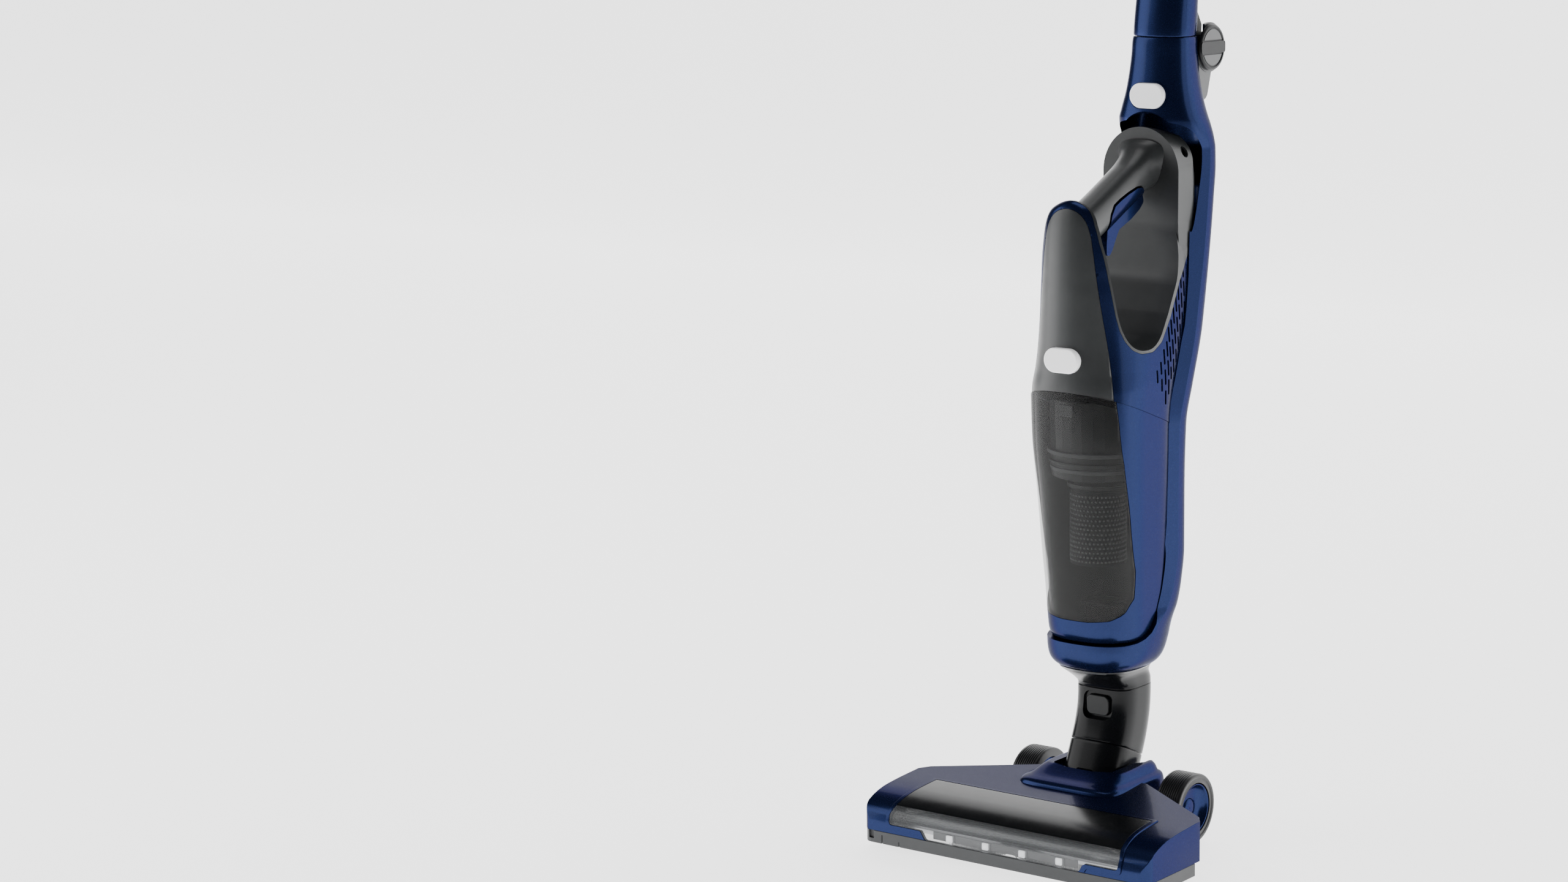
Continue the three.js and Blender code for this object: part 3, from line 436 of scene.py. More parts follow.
def plan(w=0.0, corner=8.0):
    """The head's outline seen from above, inset by w."""
    a = HALF - w
    right = arc(a - corner, w + corner, corner, -90, 0, 8)
    right += [(a, 72 - w / 2), (a - 6, 80 - w), (50 - w / 2, HEAD_BACK - w)]
    return right + [(-x, y) for x, y in reversed(right)]


def side_profile(w=0.0, low=15.0):
    """The head's outline seen from the side, its top line moved in by w."""
    pts = []
    for i, (y, z) in enumerate(TOP_LINE):
        y0, z0 = TOP_LINE[max(0, i - 1)]
        y1, z1 = TOP_LINE[min(len(TOP_LINE) - 1, i + 1)]
        length = math.hypot(y1 - y0, z1 - z0)
        pts.append((y + w * (z1 - z0) / length, z - w * (y1 - y0) / length))
    return [(pts[0][0], low)] + pts + [(HEAD_BACK, low)]


def pre_bevel(me, offset, angle, segments=5, where=None):
    bm = bmesh.new()
    bm.from_mesh(me)
    edges = [e for e in bm.edges if len(e.link_faces) == 2 and e.calc_face_angle(0) > math.radians(angle)
             and (where is None or all(where(v.co) for v in e.verts))]
    bmesh.ops.bevel(bm, geom=edges, offset=offset, segments=segments, profile=0.5, affect="EDGES", clamp_overlap=True)
    bm.to_mesh(me)
    bm.free()
    return me


def head_body(w, low):
    body = both(prism_x(side_profile(w, low), -HALF, HALF), prism_z(plan(w), low, 60))
    return pre_bevel(body, 3.2, 32, 5, lambda c: c.z > low + 3) if w == 0 else body


BLOCK = [(30, 47, 77, 166), (44.5, 46.4, 79.4, 165.2), (48.5, 45.4, 81, 164.6), (50.3, 43.2, 84, 164), (51.2, 41, 88, 163.6),
         (54.5, 38.5, 98, 163), (57.2, 35.5, 105, 161.5), (58, 33.5, 107, 160)]
block = level_loft(BLOCK, p=6, step=1.0, n=160)
block_inner = level_loft([(5, 47, 80, 190), (43.6, 46, 80, 190), (48, 43.5, 83.5, 190), (52, 40, 92, 190)], w=WALL, p=5)


def window_outline(g):
    return softened([(-70 - g, 15.3 - g), (70 + g, 15.3 - g), (74 + g, 22 - g), (104 + g, 22 - g), (104.6 + g, 30),
                     (98 + g, 47 + g), (-98 - g, 47 + g), (-104.6 - g, 30), (-104 - g, 22 - g), (-74 - g, 22 - g)], 3.0)


def window_zone(g):
    return both(prism_y(window_outline(g), -6, 54 + g), box(-HALF, HALF, -6, 54 + g, 0, 60))


neck_slot = join(
    rod_x(-27, 27, PIVOT_Y, PIVOT_Z, 26),
    prism_z(softened([(-27, PIVOT_Y - 22), (-12, PIVOT_Y - 25), (12, PIVOT_Y - 25), (27, PIVOT_Y - 22), (27, 139), (32, 148), (32, 185), (-32, 185), (-32, 148), (-27, 139)], 4), 20, 80),
)
hull = head_body(0, 15)
cover = join(cut(hull, head_body(WALL, 10)), cut(block, head_body(1.0, 0)))
rim = cut(both(head_body(-0.9, 15.2), window_zone(3.2)), head_body(1.0, 10))
cover = cut(
    join(cover, pre_bevel(rim, 0.5, 50, 2)), window_zone(GAP), neck_slot,
    both(block_inner, box(-60, 60, 60, 200, 0, 60)),
    rod_x(50, 90, WHEEL_Y, WHEEL_R, WHEEL_R + 1.5), rod_x(-90, -50, WHEEL_Y, WHEEL_R, WHEEL_R + 1.5),
    box(-200, 200, HEAD_BACK + 40.5, 220, -5, 70), box(-200, 200, -5, 200, -5, 15), rod_x(-60, 60, WHEEL_Y, WHEEL_R, 5.4),
)
stands_for("head_top_cover", cover, bevel=0.45)

# clear window with moulded ribs across its lower half
window = both(both(cut(head_body(-0.8, 15), head_body(1.4, 10)), window_zone(0)), box(-200, 200, -10, 53.7, 0, 60))
BAND_Z = 35.5
stands_for("brush_window", both(window, box(-200, 200, -10, 60, 0, BAND_Z)), "window_clear", bevel=0.25)

# its upper part is painted black from inside, its lower part has thin moulded ribs
extra("window_band", both(window, box(-200, 200, -10, 60, BAND_Z, 60)), "black_gloss", "head", bevel=0.25)
ribs = None
for k in range(7):
    z = 22.8 + k * 1.75
    one = both(both(cut(head_body(1.5, 15), head_body(2.4, 10)), window_zone(-0.8)), box(-103, 103, -6, 30, z, z + 0.8))
    extra(f"window_rib_{k}", one, "window_clear", "head", "smoked_clear", bevel=0)

# bumper with its clip at the left end
bumper = cut(both(prism_z(plan(0.2), 5, 14.7), box(-HALF, HALF, -1, 70, 0, 20)), prism_z(plan(3.6), 0, 20), box(-200, 200, 66, 200, 0, 20))
bumper = cut(bumper, box(-124, -119.5, -3, 2.4, 8.5, 16), box(-112, -111, -3, 1.2, 3, 12), box(-96, -95, -3, 1.0, 3, 9))
stands_for("front_bumper", bumper, bevel=0.5)

# lamps: a carrier with four clear cells and their lamps
stands_for("led_strip", join(box(-66, 66, 4.6, 5.4, 15.6, 21.6), *[box(x - 4.2, x + 4.2, 3.9, 4.8, 15.8, 21.4) for x in (-50, -16.7, 16.7, 50)]), "light_grey", bevel=0.2)
for k, x in enumerate((-50, -16.7, 16.7, 50)):
    extra(f"lamp_{k}", cut(prism_y(round_rect(x, 18.4, 2.7, 2.6, 0.7, 3), 2.7, 3.8), prism_y(round_rect(x, 18.4, 1.3, 1.3, 0.4, 3), 2.0, 3.1)), "lamp_white", "head", bevel=0.15)

# wheels
for side, s in (("left", -1), ("right", 1)):
    tyre_profile = [(57, 20.4), (57, 26.2), (57.5, 27.0), (58.4, 27.4)]
    for k in range(9):
        x = 59.4 + k * 1.9
        tyre_profile += [(x, 27.4), (x + 0.25, 26.9), (x + 0.85, 26.9), (x + 1.1, 27.45)]
    tyre_profile += [(77.4, 27.3), (78.3, 26.7), (78.6, 25.9), (78.5, 24.2), (77.9, 23.7), (77.9, 21.6), (78.3, 21.0), (78.2, 20.4)]
    hub_profile = [(58, 4.3), (58, 17.5), (59.5, 20.1), (76.8, 20.1), (77.7, 19.4), (77.6, 18.6), (76.4, 17.9), (73.4, 16.6),
                   (71.9, 14.0), (71.3, 10.0), (71.6, 7.6), (72.8, 6.8), (73.2, 4.6), (73.0, 0.4), (69.8, 0.4), (69.8, 4.3)]
    tyre = turned_x(tyre_profile, WHEEL_Y, WHEEL_R, 128)
    hub = turned_x(hub_profile, WHEEL_Y, WHEEL_R, 96)
    stands_for(f"tyre_{side}", mirrored(tyre) if s < 0 else tyre, bevel=0, angle=60)
    stands_for(f"wheel_hub_{side}", mirrored(hub) if s < 0 else hub, bevel=0)

# brush roll: core with two helical rows of tufts
def tuft_row(phase):
    parts = []
    verts, faces = [], []
    count = 150
    for i in range(count):
        x = -97 + 194 * i / (count - 1)
        t = math.radians(phase + abs(x) / 100 * 130)
        u = Vector((0, math.cos(t), math.sin(t)))
        v = Vector((0, -math.sin(t), math.cos(t)))
        c = Vector((x, 27, 21.5))
        wob = 0.5 * math.sin(i * 2.4)
        base = len(verts)
        for r, h in ((10.9, 0.55), (17.9 + 0.3 * math.sin(i * 1.7), 0.9)):
            for dx, dv in ((-1, -1), (1, -1), (1, 1), (-1, 1)):
                verts.append(c + u * r + v * (dv * h * 1.5 + wob * (r > 12)) + Vector((dx * h * 0.62, 0, 0)))
        faces += [[base, base + 1, base + 2, base + 3], [base + 4, base + 5, base + 6, base + 7]]
        faces += [[base + k, base + (k + 1) % 4, base + 4 + (k + 1) % 4, base + 4 + k] for k in range(4)]
    return solid(verts, faces)


stands_for("bristle_strip_a", tuft_row(20), bevel=0)
stands_for("bristle_strip_b", tuft_row(200), bevel=0)


# ------------------------------------------------------------------ neck
lean = math.radians(NECK_LEAN)
ND = (math.sin(lean), math.cos(lean))


def on_neck(l, a=NECK_W, b=NECK_D, tilt=NECK_LEAN, p=3.6):
    return (PIVOT_Y + ND[0] * l, PIVOT_Z + ND[1] * l, tilt, a, b, p)


def inclined(l0, l1, r):
    s = on_neck(l0)
    return rod((0, s[0], s[1]), (0, ND[0], ND[1]), l1 - l0, r)


yoke = join(tilted_loft([on_neck(4), on_neck(NECK_SEAM - 0.9), on_neck(NECK_SEAM - 0.2, NECK_W - 0.5, NECK_D - 0.5)]),
            rod_x(-NECK_W, NECK_W, PIVOT_Y, PIVOT_Z, 18.5), inclined(20, NECK_SEAM + 9, 16.2))
hook = join(box(-6, 6, 106.5, 113, 54, 57.2), box(-4.2, 4.2, 108, 114, 51, 55))
yoke = cut(yoke, inclined(-2, 60, 13), rod((0, PIVOT_Y - 30, 27), (0, 1, 0.18), 34, 12), rod_x(-40, 40, PIVOT_Y, PIVOT_Z, 4.3),
           box(-11, 11, 100, 116.5, 45, 53.6))
stands_for("neck_yoke", join(yoke, box(-6.2, 6.2, 110.4, 119, 51.8, 56)), bevel=0.5)

NB_Z, NB_W, NB_H = 102.4, 10.0, 7.75
bend = [on_neck(NECK_SEAM + 0.2, NECK_W - 0.5, NECK_D - 0.5), on_neck(NECK_SEAM + 0.9), (146.2, 74.5, 20.5, NECK_W, NECK_D, 3.6),
        (149, 82, 16, NECK_W, NECK_D, 3.6), (151.3, 90, 11, NECK_W, NECK_D, 3.6), (153, 98, 6.5, NECK_W, NECK_D, 3.6),
        (153.8, 105.5, 3, NECK_W, NECK_D, 3.6), (154, 111.5, 0.8, NECK_W, NECK_D, 3.6)]
neck = join(tilted_loft(bend + [(154, 115.4, 0, NECK_W, NECK_D, 3.6), (154, 116, 0, NECK_W - 0.5, NECK_D - 0.5, 3.6)]),
            tilted_loft([(154, 110, 0, 18, 16, 4.5), (154, 131, 0, 18, 16, 4.5)]))
neck = cut(neck, tilted_loft([on_neck(NECK_SEAM + 9.7, 12.6, 12.6, p=2.1), on_neck(NECK_SEAM + 16, 13.1, 13.1, 17, 2.4),
                              (154, 95, 0, 15, 13, 3), (154, 140, 0, 15, 13, 3)]),
           inclined(NECK_SEAM - 5, NECK_SEAM + 11.4, 16.6))
recess = prism_y(round_rect(0, NB_Z, NB_W + 3.4, NB_H + 3.0, 6.5), 118, 133.2)
neck = cut(neck, recess, prism_y(round_rect(0, NB_Z, NB_W + GAP, NB_H + GAP, 4.3), 120, 139.9))
stands_for("neck_tube", neck, bevel=0.5)
stands_for("neck_release_button", prism_y(round_rect(0, NB_Z, NB_W, NB_H, 4.3), 130.0, 137.8), bevel=0.8, segments=3)


# ------------------------------------------------------------------ frame
# height, half width, front, back, crease between side face and front chamfer, chamfer share
FRAME = [
    (133.6, 31, 110, 172, 140), (135, 33.6, 107.6, 175, 140), (138, 37.5, 103.6, 179, 142), (143, 40.6, 100.6, 183, 143),
    (149, 42, 99.3, 186.5, 143), (152.5, 42.4, 99.0, 188, 143), (157, 42.8, 99.0, 190, 144), (165, 43.2, 100, 192, 150), (175, 43.6, 104, 194, 159),
    (186, 44.4, 110, 195.5, 165), (197, 45, 118, 196, 169), (224, 46, 135, 197, 173), (268, 46, 148, 197, 173),
    (320, 46, 151, 199, 175), (350, 46, 158, 208, 184), (388, 45, 172, 222, 198), (410, 44, 180, 228, 204),
    (455, 42, 190, 237, 216), (492, 40, 194, 245, 224), (517, 39, 196, 249, 228), (535, 38, 196.3, 249, 229),
    (548, 36, 196, 248, 229), (560, 32.3, 196.5, 246.5, 228), (571, 29.2, 198, 245.5, 227), (585, 26.6, 199.7, 244.3, 225),
    (600, 25, 201.5, 243.6, 224.5), (613.6, 24.1, 202.9, 243.1, 223.5), (FOLD_SEAM - 0.3, 23.6, 203.4, 242.6, 223.5),
]


def chamfer_share(z):
    """How much of the section's front is a plain chamfer: none on the cup, all on the rails, none on the tube."""
    up = min(1, max(0, (z - 158) / 20))
    down = min(1, max(0, (552 - z) / 22))
    return up * down


def frame_rings(rows, w=0.0, crease=True):
    rings = []
    for z, a, y0, y1, yc in smooth_rows(rows, 2.0):
        a, y0, y1 = a - w, y0 + w, y1 - w
        k = chamfer_share(z) if crease else 0
        half = []
        n_back, n_side, n_front = 26, 8, 44
        mid = (y0 + y1) / 2
        depth = (y1 - y0) / 2
        side_y0 = mid + (yc - mid) * k
        side_y1 = max(mid, side_y0 + 2 * k) + 0.8
        for t in np.linspace(0, math.pi / 2, n_back, False):
            e = 2 / 2.7
            half.append((a * math.sin(t) ** e, side_y1 + (y1 - side_y1) * math.cos(t) ** e))
        half += [(a, side_y1 + (side_y0 - side_y1) * f) for f in np.linspace(0, 1, n_side, False)]
        for i, t in enumerate(np.linspace(0, math.pi / 2, n_front)):
            e = 2 / 2.6
            q = (a * math.cos(t) ** e, side_y0 - (side_y0 - y0) * math.sin(t) ** e)
            y = side_y0 - (side_y0 - y0) * (i / (n_front - 1))
            c = (max(0.0, a - 0.36 * (side_y0 - y)) if i < n_front - 1 else 0.0, y)
            half.append((q[0] * (1 - k) + c[0] * k, q[1] * (1 - k) + c[1] * k))
        ring = half + [(-x, y) for x, y in reversed(half[1:-1])]
        rings.append([(x, y, z) for x, y in ring])
    return rings


CAVITY = [
    (137, 28, 116, 168), (141, 33, 109, 176), (149, 38.5, 103, 183), (157, 39.3, 102.4, 186),
    (175, 40.2, 107, 190), (197, 41.2, 117, 193), (224, 42, 137, 194), (268, 42, 150, 194), (320, 42, 153, 196),
    (350, 42, 160, 205), (388, 41, 173, 219), (410, 40, 181, 225), (455, 38, 188, 234), (492, 36.6, 192, 242),
    (517, 36.2, 193, 246), (535, 35.2, 193, 246), (548, 33.2, 195, 245), (560, 29.4, 199.5, 243.5),
    (571, 26, 201, 242.5), (585, 23.4, 202.7, 241), (620, 21.4, 206, 240),
]
OPEN_FRONT = [
    (80, 157), (100, 157), (112, 157.2), (124, 158), (133, 160), (141, 163.5), (147, 169), (151.5, 177), (155, 188),
    (157.5, 200), (160.5, 224), (162.4, 245), (163, 268), (163.4, 295), (165, 324), (168, 338), (172, 350), (184, 382),
    (189.5, 396), (193, 410), (198, 433), (204, 470), (208, 503), (212, 530), (212, 565), (80, 565),
]
open_front = prism_x(OPEN_FRONT, -60, 60)
arch = prism_y([(-35.5, 480), (35.5, 480)] + arc(0, 515.5, 35.5, 0, 180, 48), 150, 214)


def arch_flare():
    """The arch opening widened towards the front, for the wide chamfer round it."""
    rings = []
    for y, rx, rz in ((180, 37.4, 50.6), (196, 36.4, 42.4), (205.4, 35.6, 35.6)):
        rings.append([(x, y, z) for x, z in [(-rx, 470), (rx, 470)] + [(rx * math.cos(t), 515.5 + rz * math.sin(t)) for t in np.linspace(0, math.pi, 49)]])
    return rings_to_solid(rings)


def stadium(z, w, h, y0, y1, n=24):
    return prism_y(round_rect(0, z, w, h, h - 0.01, n), y0, y1)


BUTTON_1_Z, BUTTON_1_W, BUTTON_1_H = 569.6, 15.5, 9.75
frame_outer = rings_to_solid(frame_rings(FRAME))
shell = cut(
    frame_outer, level_loft(CAVITY), both(open_front, box(-60, 60, 60, 230, 100, 497)), both(open_front, arch),
    both(arch_flare(), box(-60, 60, 150, 206, 512, 600)), stadium(BUTTON_1_Z, BUTTON_1_W + GAP, BUTTON_1_H + GAP, 190, 210),
    rod_x(-12.3, 12.3, FOLD_Y, FOLD_Z, 12.4), rod((0, 150, 120), (0, 0, 1), 40, 17),
)
BACK = (0, 360, 30, 150, 12)


def back_zone(g):
    return prism_y(round_rect(BACK[0], BACK[1], BACK[2] + g, BACK[3] + g, BACK[4] + g), 180, 270)


frame_inset = rings_to_solid(frame_rings(FRAME, 1.4))
shell = cut(shell, both(back_zone(0), cut(box(-60, 60, 160, 270, 190, 530), frame_inset)))
stands_for("frame_shell", shell, bevel=0.8, angle=50, segments=3)
stands_for("frame_back_cover", cut(both(frame_outer, back_zone(-GAP)), rings_to_solid(frame_rings(FRAME, 1.2))), bevel=0.4)

# collar under the cup, with the thin pale rim between them
collar = level_loft([(116.3, 25.3, 130.8, 177.2), (118, 25.3, 130.6, 177.2), (122, 25.8, 126.4, 176.4), (127, 26.6, 119, 173.4), (131.6, 29.6, 112.6, 172), (133.3, 30.6, 110.8, 171.6)], p=3.6)
stands_for("frame_collar", cut(collar, tilted_loft([(154, 100, 0, 18.4, 16.4, 4.5), (154, 131.4, 0, 18.4, 16.4, 4.5)]), rod((0, 151, 120), (0, 0, 1), 40, 14.5)), bevel=0.5)
rim = cut(level_loft([(132.4, 31.3, 109.9, 172.6), (134.6, 33.6, 107.3, 175.3)], p=2.6, step=0.6), level_loft([(130, 30.2, 111.2, 171.2), (136, 30.2, 111.2, 171.2)], p=2.6))
extra("cup_rim", cut(rim, frame_outer), "mid_grey", "frame", "light_grey", bevel=0.2)

stands_for("frame_release_button", stadium(BUTTON_1_Z, BUTTON_1_W, BUTTON_1_H, 196.4, 203.4), bevel=1.2, segments=4)
ring = cut(stadium(BUTTON_1_Z, BUTTON_1_W + 1.5, BUTTON_1_H + 1.5, 194, 204), stadium(BUTTON_1_Z, BUTTON_1_W + 0.5, BUTTON_1_H + 0.5, 190, 210))
extra("button_surround_1", both(ring, rings_to_solid(frame_rings(FRAME, -0.5))), "blue_gloss", "frame", bevel=0.3)

# fold joint
ears = None
def bracket_half():
    ear = join(rod_x(12.4, 20.4, FOLD_Y, FOLD_Z, 12), rod_x(20.3, 22.6, FOLD_Y, FOLD_Z, 19.4, 96),
               prism_x(softened([(236, 600), (FOLD_Y + 11.6, FOLD_Z - 2), (FOLD_Y + 4, 588), (250, 566), (238, 562)], 8), 12.4, 22))
    return cut(ear, rings_to_solid(frame_rings(FRAME, -GAP)), box(10, 24, 210, 245.5, 600, 640), rod_x(10, 24, FOLD_Y, FOLD_Z, 4.3))


spine = cut(prism_x([(243, 590), (247, 590), (252, 566), (243, 562)], -13, 13), rings_to_solid(frame_rings(FRAME, -GAP)), rod_x(-14, 14, FOLD_Y, FOLD_Z, 12.4))
half = bracket_half()
stands_for("fold_bracket", join(half, mirrored(half), spine), "mid_grey", bevel=0.6)


def knob(x0, x1):
    body = turned_x([(x0, 0.2), (x0, 17.2), (x0 + 0.8, 18), (x1 - 1.2, 18), (x1 - 0.3, 17.3), (x1, 16.4), (x1, 15.6), (x1 - 0.7, 15), (x1 - 0.7, 0.2)], FOLD_Y, FOLD_Z)
    bar = prism_x(softened([(FOLD_Y - 17.4, FOLD_Z - 4.6), (FOLD_Y + 17.4, FOLD_Z - 4.6), (FOLD_Y + 17.4, FOLD_Z + 4.6), (FOLD_Y - 17.4, FOLD_Z + 4.6)], 2.5), x0 + 0.5, x1 + 0.4)
    return join(body, both(bar, rod_x(x0, x1 + 1, FOLD_Y, FOLD_Z, 17.6)))


stands_for("fold_knob", knob(22.9, 26), "black_satin", bevel=0.6)
for k, s in enumerate((1, -1)):
    half_disc = both(rod_x(25.2, 25.75, FOLD_Y, FOLD_Z, 14.2), box(20, 30, FOLD_Y - 20, FOLD_Y + 20, FOLD_Z + (5.6 if s > 0 else -20), FOLD_Z + (20 if s > 0 else -5.6)))
    extra(f"knob_inlay_{k}", half_disc, "mid_grey", "knob", "light_grey", bevel=0.3)
stands_for("fold_cap", mirrored(turned_x([(22.9, 0.2), (22.9, 17.2), (23.6, 18), (24.4, 18), (25.2, 17), (25.2, 12), (24.6, 11.4), (24.6, 0.2)], FOLD_Y, FOLD_Z)), bevel=0)


# ------------------------------------------------------------------ folding handle
TAN = math.tan(math.radians(6.6))


def tube_y(z):
    return 223 + (z - FOLD_SEAM) * TAN


def tube_row(z, w=0.0, k=0.0):
    return (z, 24 - w - k, tube_y(z) - 20 + w + k, tube_y(z) + 20 - w - k)


TUBE_ROWS = [tube_row(FOLD_SEAM + GAP, 0.5), tube_row(FOLD_SEAM + 1.2), tube_row(650, 0, 0.4), tube_row(929, 0, 1.5), tube_row(930, 0.5, 1.5)]
tube = cut(level_loft(TUBE_ROWS, step=6), level_loft([tube_row(600, 2.6), tube_row(650, 2.6, 0.4), tube_row(940, 2.6, 1.5)], step=20))


def strip(g):
    return prism_x([(tube_y(640) + 17 - g, 640 - g), (tube_y(640) + 26, 640 - g), (tube_y(925) + 26, 925 + g), (tube_y(925) + 17 - g, 925 + g)], -10 - g, 10 + g)


stands_for("handle_tube", cut(tube, strip(GAP)), bevel=0.4)
stands_for("handle_back_strip", both(strip(0), level_loft([tube_row(620, -1.4), tube_row(650, -1.4, 0.4), tube_row(940, -1.4, 1.5)], step=20)), bevel=0.5)
GRIP = [(930.3, 21, 18, 0), (950, 20.5, 17.5, 0.5), (985, 19, 16.5, 3), (1025, 18.5, 16, 9), (1060, 19, 16, 18), (1085, 18, 15, 27), (1100, 13, 10.5, 33)]


def grip_rows(w=0.0, low=None):
    rows = [(z, a - w, tube_y(z) + dy - b + w, tube_y(z) + dy + b - w) for z, a, b, dy in GRIP]
    if low is not None:
        rows[0] = (low,) + rows[0][1:]
    return rows


grip_solid = level_loft(grip_rows(), step=2.0)
switch_y = tube_y(975) + 2 - 17


def switch_pocket(g, dz):
    return shifted(prism_y(round_rect(0, 975, 7 + g, 13 + g, 6), switch_y - 6, switch_y + 8), z=dz)


cap_zone = box(-40, 40, 200, 360, 1088, 1120)
grip = cut(grip_solid, level_loft(grip_rows(2.5, 925)[:-1]), switch_pocket(0.5, 2), switch_pocket(0.5, -2), cap_zone)
for k in range(16):
    z = 990 + k * 5.5
    grip = cut(grip, box(-40, 40, tube_y(z) + 8, tube_y(z) + 80, z, z + 1.1))
grip = join(grip, cut(level_loft([(r[0],) + (r[1] - 1.2, r[2] + 1.2, r[3] - 1.2) for r in grip_rows(0, 925)[:-1]]), level_loft(grip_rows(2.4, 920)[:-1]), cap_zone, switch_pocket(0.5, 2), switch_pocket(0.5, -2), box(-40, 40, 200, 400, 900, 931)))
stands_for("handle_grip", grip, bevel=0.35)
stands_for("grip_cap", both(grip_solid, shifted(cap_zone, z=GAP)), bevel=1.0, segments=3)
switch = prism_y(round_rect(0, 975, 7, 13, 6), switch_y - 2.2, switch_y + 4)
for k in range(5):
    switch = cut(switch, box(-8, 8, switch_y - 3, switch_y - 1.4, 967.5 + 3.4 * k, 969 + 3.4 * k))
stands_for("handle_switch", switch, bevel=0.3)


# ------------------------------------------------------------------ dust bin
def seam_z(y):
    return BIN_SEAM_Z + BIN_SLOPE * (y - BIN_SEAM_Y)


def above_seam(g):
    return prism_x([(40, seam_z(40) + g), (240, seam_z(240) + g), (240, 640), (40, 640)], -60, 60)


BIN = [
    (158.8, 37.9, 102, 175.6), (160, 38.6, 101, 176), (164, 39.2, 98.8, 176.5), (176, 39.8, 97, 176.5), (200, 40.8, 94.8, 175.5),
    (223, 42, 92.3, 174), (268, 44, 88, 173), (318, 46, 82.3, 171), (345, 46.2, 80.9, 172), (370, 46.3, 80, 175),
]
BIN_EGG = [(z, a, y0, (y0 + y1) / 2, y1, 3 + 3 * min(1, (z - 158) / 30)) for z, a, y0, y1 in BIN]
bin_outer = egg_loft(BIN_EGG, p=2.5)
bin_inner = egg_loft([(161, 38, 101.6, 138, 175, 3)] + BIN_EGG[2:], 2.2, p=2.5)
bin_wall = cut(bin_outer, bin_inner, above_seam(-0.15))


def bin_window_zone(g):
    right = [(12 + g, 176 - g), (28 + g, 177.5 - g), (35.5 + g, 182 - g), (39 + g, 193), (40.4 + g, 215), (41 + g, 260),
             (41 + g, 300), (39.8 + g, 332), (38 + g, 360)]
    return prism_y(softened([(-x, z) for x, z in reversed(right)] + right, 9), 70, 124)


nose = level_loft([(152.5, 20, 119, 163), (159.5, 33, 107, 173)])
bin_shell = cut(join(cut(bin_wall, bin_window_zone(GAP)), nose), rod((0, 140, 140), (0, 0, 1), 30, 14))
bin_look = stands_for("bin_shell", bin_shell, bevel=0.5)
# the bin's inner faces are unpainted dark plastic
bin_look.data.materials.append(MATS["dark_plastic"])
for face in bin_look.data.polygons:
    inward = face.center.x * face.normal.x + (face.center.y - (138 - SHIFT_Y) / 1000) * face.normal.y
    if inward < -0.012:
        face.material_index = 1
stands_for("bin_window", both(bin_wall, bin_window_zone(0)), "smoked_clear", bevel=0.35)

FILTER_Y = 131.0
# perforated shroud round the filter, standing on the frame's cone
shroud_top = seam_z(FILTER_Y) - 32
shroud = turned = None
ring_pts = []
perf = cut(rod((0, FILTER_Y, 216), (0, 0, 1), 60, 21.5), rod((0, FILTER_Y, 210), (0, 0, 1), 80, 20.4))
extra("filter_shroud", perf, "dark_plastic", "dust_bin", bevel=0.3)
verts, faces = [], []
for row in range(15):
    for col in range(44):
        t = 2 * math.pi * (col + 0.5 * (row % 2)) / 44
        z = 219.5 + row * 3.6
        u = Vector((math.sin(t), -math.cos(t), 0))
        v = Vector((math.cos(t), math.sin(t), 0))
        c = Vector((0, FILTER_Y, z)) + u * 21.55
        base = len(verts)
        rim_pts = [(math.cos(a), math.sin(a)) for a in np.linspace(0, 2 * math.pi, 8, False)]
        verts += [c + v * (1.0 * p) + Vector((0, 0, 1.0 * q)) - u * 0.2 for p, q in rim_pts]
        verts += [c + v * (0.75 * p) + Vector((0, 0, 0.75 * q)) + u * 0.45 for p, q in rim_pts]
        faces += [[base + k, base + (k + 1) % 8, base + 8 + (k + 1) % 8, base + 8 + k] for k in range(8)]
        faces += [list(range(base, base + 8)), list(range(base + 8, base + 16))]
extra("filter_dots", solid(verts, faces), "light_grey", "dust_bin", bevel=0)
bands = [rod((0, FILTER_Y, z), (0, 0, 1), h, r) for z, h, r in ((276, 3, 24), (284, 2, 34), (290, 3, 37), (296, 2, 38.5), (303, 3, 39.5))]
for k, band in enumerate(bands):
    r = (24, 34, 37, 38.5, 39.5)[k]
    extra(f"filter_band_{k}", cut(band, rod((0, FILTER_Y, 200), (0, 0, 1), 200, r - 2.5)), "light_grey" if k in (2, 4) else "mid_grey", "dust_bin",
          "light_grey" if k in (2, 4) else "dark_plastic", bevel=0.4)


# ------------------------------------------------------------------ hand vacuum
def vee(w):
    pts = [(96 - w, 600), (96 - w, 498), (94.8 - w, 489), (94.6 - w, 480.6), (95.8 - w, 468), (98 - w, 455), (100.4 - w, 438.4), (102.4 - w, 425),
           (104.4 - w, 412), (106.8 - w, 402), (110.6 - w * 0.8, 393.6 - w / 2), (116.4 - w / 2, 387 - w), (125, 383.8 - w), (139, 383.6 - w),
           (151 + w / 3, 390 - w), (165 + w / 2, 408 - w / 2), (182 + w / 2, 434 - w / 2), (189 + w, 470), (190 + w, 600)]
    return softened(pts, 40, 5)


